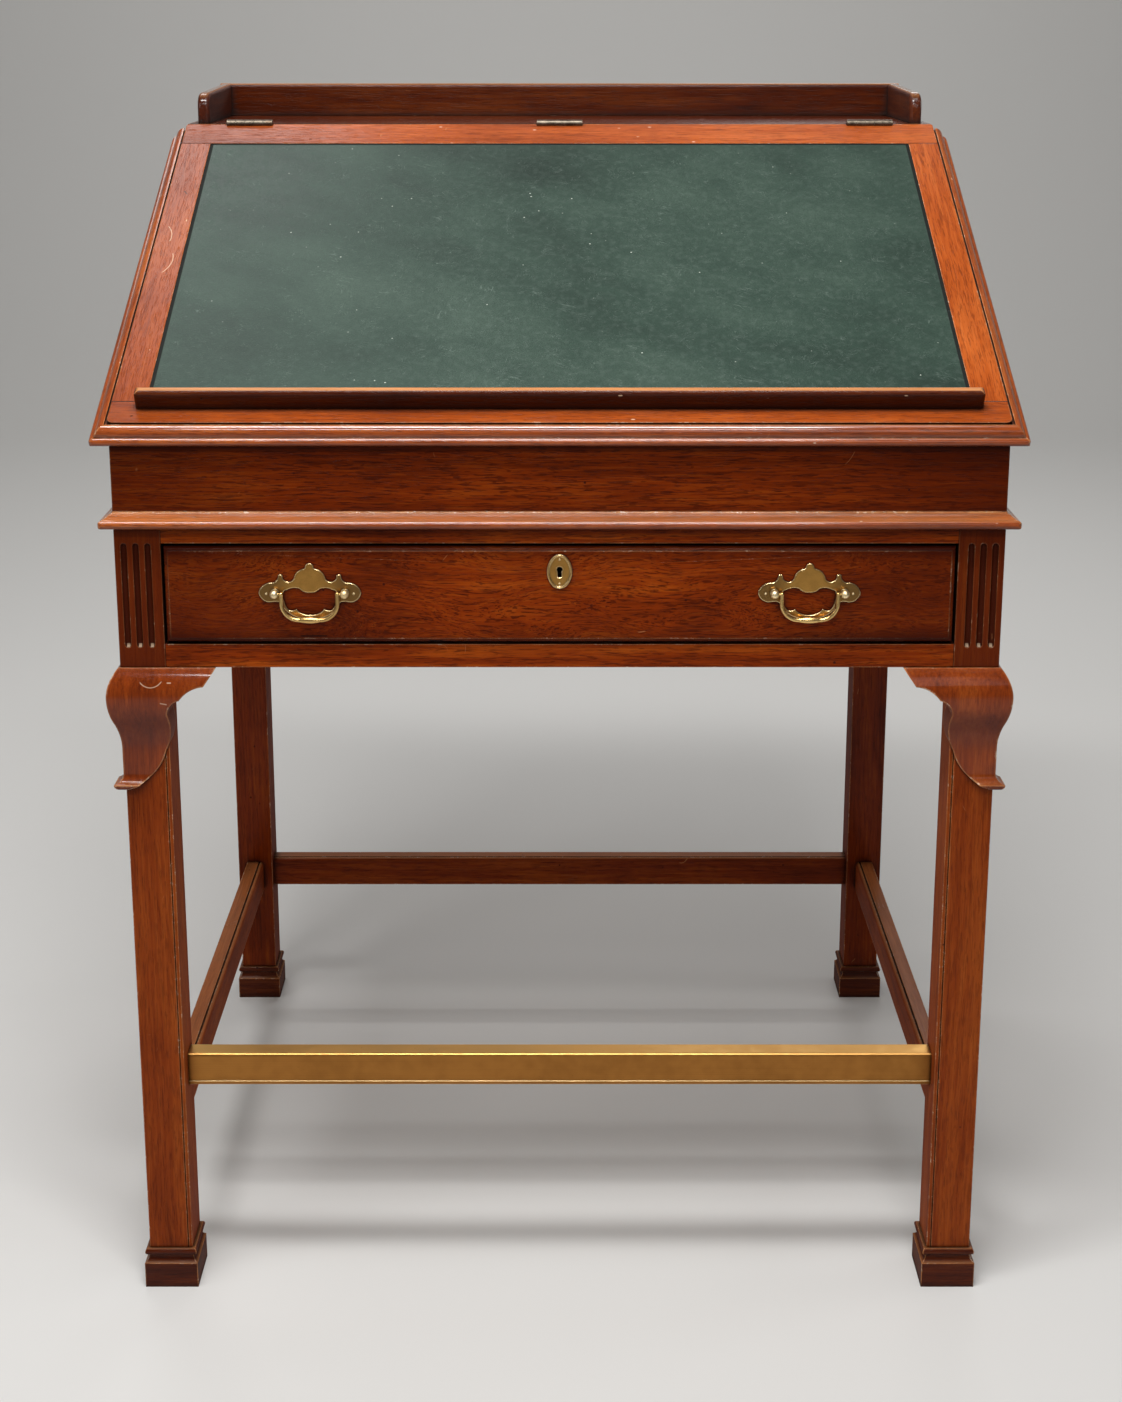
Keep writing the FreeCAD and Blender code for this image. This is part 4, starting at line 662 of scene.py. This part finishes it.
dress(mahogany("case_mahogany", ALONG_X, CASE_TONES, wear_and_edge_light=0.9, pores=0.60,
               borders=darker_borders("box_front", side=0.22, top=0.016)),
      "box_front")
dress(mahogany("back_mahogany", ALONG_X, CASE_TONES, wear_and_edge_light=0.5), "apron_back", "box_back")
dress(mahogany("drawer_rail_mahogany", ALONG_X, FIGURED_TONES, seams=leg_seams),
      "drawer_top_rail", "drawer_bottom_rail")
dress(mahogany("side_mahogany", ALONG_Y, CASE_TONES, wear_and_edge_light=0.7), *both("box_side", "apron"))
dress(mahogany("gallery_mahogany", ALONG_X, GALLERY_SHADED_TONES, wear_and_edge_light=1.2, shine=0.18, pores=0.30,
               lit_top=0.5),
      "gallery_back")
dress(mahogany("gallery_end_mahogany", ALONG_Y, GALLERY_SHADED_TONES, wear_and_edge_light=1.2, gloss=0.05, shine=0.25,
               coat=0.5, pores=0.30, lit_top=0.3),
      *both("gallery"))
dress(mahogany("shelf_mahogany", ALONG_X, DARK_TONES, wear_and_edge_light=1.4, pores=0.35, nicked=0.04),
      "pen_shelf")
dress(mahogany("leg_mahogany", ALONG_Z, STAND_TONES, pores=0.30, scrapes_and_glints=flute_stop_glints,
               borders=beside_drawer),
      *both("leg_front"))
dress(mahogany("knee_mahogany", ALONG_Z, STAND_TONES, wear_and_edge_light=1.6, gloss=0.05, shine=0.12, coat=0.45,
               pores=0.22, lit_top=0.15, arris=3.4*MM, scrapes_and_glints=knee_scrapes, borders=knee_shade),
      *both("knee_bracket"))
dress(mahogany("rear_leg_mahogany", ALONG_Z, CASE_TONES, pores=0.30), *both("leg_rear"))
dress(mahogany("foot_mahogany", ALONG_X, DARK_TONES, wear_and_edge_light=1.4, shine=0.14, pores=0.35,
               lit_top=0.3),
      *both("foot_front", "foot_rear"))
dress(mahogany("rear_stretcher_mahogany", ALONG_X, CASE_TONES, wear_and_edge_light=1.2, pores=0.35,
               lit_top=0.35),
      "stretcher_rear")
dress(mahogany("side_stretcher_mahogany", ALONG_Y, STAND_TONES, wear_and_edge_light=1.2, pores=0.35,
               lit_top=0.35),
      *both("stretcher"))
dress(mahogany("rim_mahogany", ALONG_X, MOULDING_TONES, **MOULDING), "lid_moulding_front")
dress(mahogany("sloping_rim_mahogany", UP_LID, MOULDING_TONES, **SLOPING_RIM),
      *both("lid_moulding"))
dress(mahogany("waist_mahogany", ALONG_X, MOULDING_TONES, **WAIST), "waist_moulding_front")
dress(mahogany("side_waist_mahogany", ALONG_Y, MOULDING_TONES, **WAIST), *both("waist_moulding"))
dress(mahogany("ledge_mahogany", ACROSS_LID, DARK_TONES, wear_and_edge_light=1.4, shine=0.20, pores=0.35,
               lit_top=0.9, nicked=0.02),
      "paper_ledge")
dress(mahogany("lid_rail_mahogany", ACROSS_LID, LID_TONES, **LID),
      "lid_top_rail", "lid_bottom_rail")
dress(mahogany("lid_stile_mahogany", UP_LID, LID_TONES, **LID, scrapes_and_glints=stile_scrapes,
               marks=stile_nick),
      *both("lid_stile"))
dress(mahogany("figured_mahogany", ALONG_X, FIGURED_TONES, swirl=0.16, wear_and_edge_light=1.2, pores=0.65,
               cloudy=0.42, marks=drawer_marks,
               borders=darker_borders("drawer_front", side=0.26, top=0.014)),
      "drawer_front")
dress(drawer_wood("drawer_wood_across", ALONG_X),
      "drawer_back", "drawer_bottom", "box_floor", "lid_panel")
dress(drawer_wood("drawer_wood_along", ALONG_Y),
      *both("drawer_side", "drawer_runner"), "drawer_kickers")
dress(green_leather("writing_hide"), "writing_leather")
dress(aged_brass("plate_brass", PLATE_TONES, arris=2.2*MM, shaded=plate_ends), "handle_plates")
dress(aged_brass("escutcheon_brass", PLATE_TONES, arris=2.2*MM), "escutcheon")
dress(aged_brass("bail_brass", BAIL_TONES, smooth=0.18), *both("handle_bail"))
post_brass = aged_brass("post_brass", POST_TONES, smooth=0.34)
dress(post_brass, "handle_posts", "handle_nuts")
dress(aged_brass("rail_brass", RAIL_TONES, tarnished=0.35, brushed=ALONG_X, smooth=0.32,
                 lit_top=0.9),
      "brass_foot_rail")
dress(dark_steel("hinge_steel"), "hinge_shelf_leaves", "hinge_lid_leaves", "hinge_pins",
      "drawer_lock", "lock_bolt")


# Small brass pins, modelled as domes cut from a sphere

PLATE_PIN = 1.5*MM
PLATE_PIN_INSET = 8.0*MM
PLATE_PIN_DROP = 1.2*MM
OVAL_PIN = 1.3*MM
OVAL_PIN_SINK = 1.0*MM
OVAL_PIN_OFF = 13.4*MM
DOME_HEIGHT = 0.6
SMOOTH_ANGLE = math.radians(40)


def deselect():
    bpy.ops.object.select_all(action="DESELECT")


def pin_head(radius):
    """A domed pin head at the origin, with its flat back at y = 0."""
    deselect()
    bpy.ops.mesh.primitive_uv_sphere_add(segments=20, ring_count=12, radius=radius)
    pin = bpy.context.object
    bpy.ops.object.mode_set(mode="EDIT")
    bpy.ops.mesh.select_all(action="SELECT")
    bpy.ops.mesh.bisect(plane_co=(0, 0, 0), plane_no=(0, 1, 0), use_fill=True, clear_outer=True)
    bpy.ops.mesh.select_all(action="SELECT")
    bpy.ops.transform.resize(value=(1, DOME_HEIGHT, 1), center_override=(0, 0, 0))
    bpy.ops.mesh.normals_make_consistent(inside=False)
    bpy.ops.object.mode_set(mode="OBJECT")
    bpy.ops.object.shade_smooth_by_angle(angle=SMOOTH_ANGLE)
    pin.data.materials.append(post_brass)
    return pin


def set_pins(radius, places):
    """Pins in the drawer's brasses, copies of one modelled head, each with its own mesh."""
    head = pin_head(radius)
    for name, place in places.items():
        deselect()
        head.select_set(True)
        bpy.context.view_layer.objects.active = head
        bpy.ops.object.duplicate_move(TRANSFORM_OT_translate={"value": place})
        pin = bpy.context.object
        pin.name = name
        bpy.ops.object.transform_apply(location=True, rotation=True, scale=True)
        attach(pin, "drawer")
    bpy.data.objects.remove(head)


outer_pin = plates_high.x - PLATE_PIN_INSET
inner_pin = 2*handle_middle - outer_pin
plate_pin_height = (posts_high.z + posts_low.z)/2 - PLATE_PIN_DROP
set_pins(PLATE_PIN, {
    f"plate_pin_{side}_{word}": (sign*off, plates_low.y, plate_pin_height)
    for side, sign in (("left", -1), ("right", 1))
    for word, off in (("outer", outer_pin), ("inner", inner_pin))})
oval_middle = (oval_low.z + oval_high.z)/2
set_pins(OVAL_PIN, {
    f"escutcheon_pin_{word}": (0, oval_low.y + OVAL_PIN_SINK, oval_middle + sign*OVAL_PIN_OFF)
    for word, sign in (("upper", 1), ("lower", -1))})


# Floor, light and camera

FLOOR_SIZE = (16, 13)
FLOOR_MIDDLE = 0.5
WALL_HEIGHT = 6
COVE_WIDTH = 2.5
PAPER = (0.72, 0.71, 0.69, 1)
PAPER_ROUGHNESS = 0.9
AIR = (1.0, 0.98, 0.95, 1)
AIR_STRENGTH = 0.14

# Name, place, target and size in metres, and power in watts
SOFT_BOXES = (
    ("overhead_box", (0.1, -0.8, 3.4), (0, -0.1, 1.0), (1.7, 0.9), 15),
    ("strip_box", (-0.25, -1.15, 3.2), (0, -0.2, 0.9), (1.8, 0.30), 57),
    ("sheen_box", (-0.95, 1.4, 3.3), (-0.3, 0.0, 1.2), (0.9, 0.9), 11),
    ("front_strip", (-0.15, -2.3, 2.75), (0, -0.3, 0.8), (1.5, 0.14), 20),
    ("front_box", (0.5, -3.0, 2.2), (0, 0, 0.7), (1.2, 1.2), 5),
    ("left_box", (-2.6, -1.6, 2.0), (0, 0, 0.7), (0.8, 1.4), 9),
    ("right_box", (2.8, 0.3, 2.0), (0, 0, 0.7), (0.8, 1.4), 6),
    ("back_box", (0.9, 3.2, 2.6), (0, 0, 0.8), (1.2, 1.2), 10),
    ("wall_box", (0, 2.4, 4.6), (0, 6.5, 1.4), (3.0, 0.6), 80))


def studio():
    """A pale floor that curves up into a backdrop."""
    deselect()
    bpy.ops.mesh.primitive_plane_add(size=1, location=(0, FLOOR_MIDDLE, 0))
    floor = bpy.context.object
    floor.name = "studio_floor"
    floor.scale = (*FLOOR_SIZE, 1)
    bpy.ops.object.transform_apply(location=True, scale=True)
    corners = floor.data.vertices
    for polygon in floor.data.polygons:
        polygon.select = False
    for edge in floor.data.edges:
        edge.select = all(corners[index].co.y > 0 for index in edge.vertices)
    for corner in corners:
        corner.select = corner.co.y > 0
    bpy.ops.object.mode_set(mode="EDIT")
    bpy.ops.mesh.extrude_region_move(TRANSFORM_OT_translate={"value": (0, 0, WALL_HEIGHT)})
    bpy.ops.object.mode_set(mode="OBJECT")
    cove = floor.modifiers.new("cove", "BEVEL")
    cove.width = COVE_WIDTH
    cove.segments = 16
    bpy.ops.object.modifier_apply(modifier="cove")
    bpy.ops.object.shade_smooth()
    paper = bpy.data.materials.new("studio_paper")
    paper.use_nodes = True
    shader = paper.node_tree.nodes["Principled BSDF"]
    shader.inputs["Base Color"].default_value = PAPER
    shader.inputs["Roughness"].default_value = PAPER_ROUGHNESS
    floor.data.materials.append(paper)


def soft_box(name, place, target, size, power):
    lamp = bpy.data.lights.new(name, "AREA")
    lamp.shape = "RECTANGLE"
    lamp.size, lamp.size_y = size
    lamp.energy = power
    box = bpy.data.objects.new(name, lamp)
    bpy.context.scene.collection.objects.link(box)
    box.location = place
    box.rotation_euler = (Vector(target) - Vector(place)).to_track_quat("-Z", "Y").to_euler()


studio()
world = bpy.data.worlds.new("studio_air")
world.use_nodes = True
world.node_tree.nodes["Background"].inputs["Color"].default_value = AIR
world.node_tree.nodes["Background"].inputs["Strength"].default_value = AIR_STRENGTH
bpy.context.scene.world = world
for lamp_box in SOFT_BOXES:
    soft_box(*lamp_box)

# The camera's place in metres, its downward pitch in degrees, its lens in millimetres
CAMERA_PLACE = (0, -2.5268, 1.4713)
PITCH = 13.29
FOCAL_LENGTH = 52.64
SENSOR_WIDTH = 36
SHIFT = (0.001, -0.1505)
lens = bpy.data.cameras.new("view_camera")
lens.lens = FOCAL_LENGTH
lens.sensor_width = SENSOR_WIDTH
lens.shift_x, lens.shift_y = SHIFT
camera = bpy.data.objects.new("view_camera", lens)
camera.location = CAMERA_PLACE
camera.rotation_euler = (math.radians(90 - PITCH), 0, 0)
bpy.context.scene.collection.objects.link(camera)
bpy.context.scene.camera = camera
bpy.context.scene.view_settings.view_transform = "Standard"
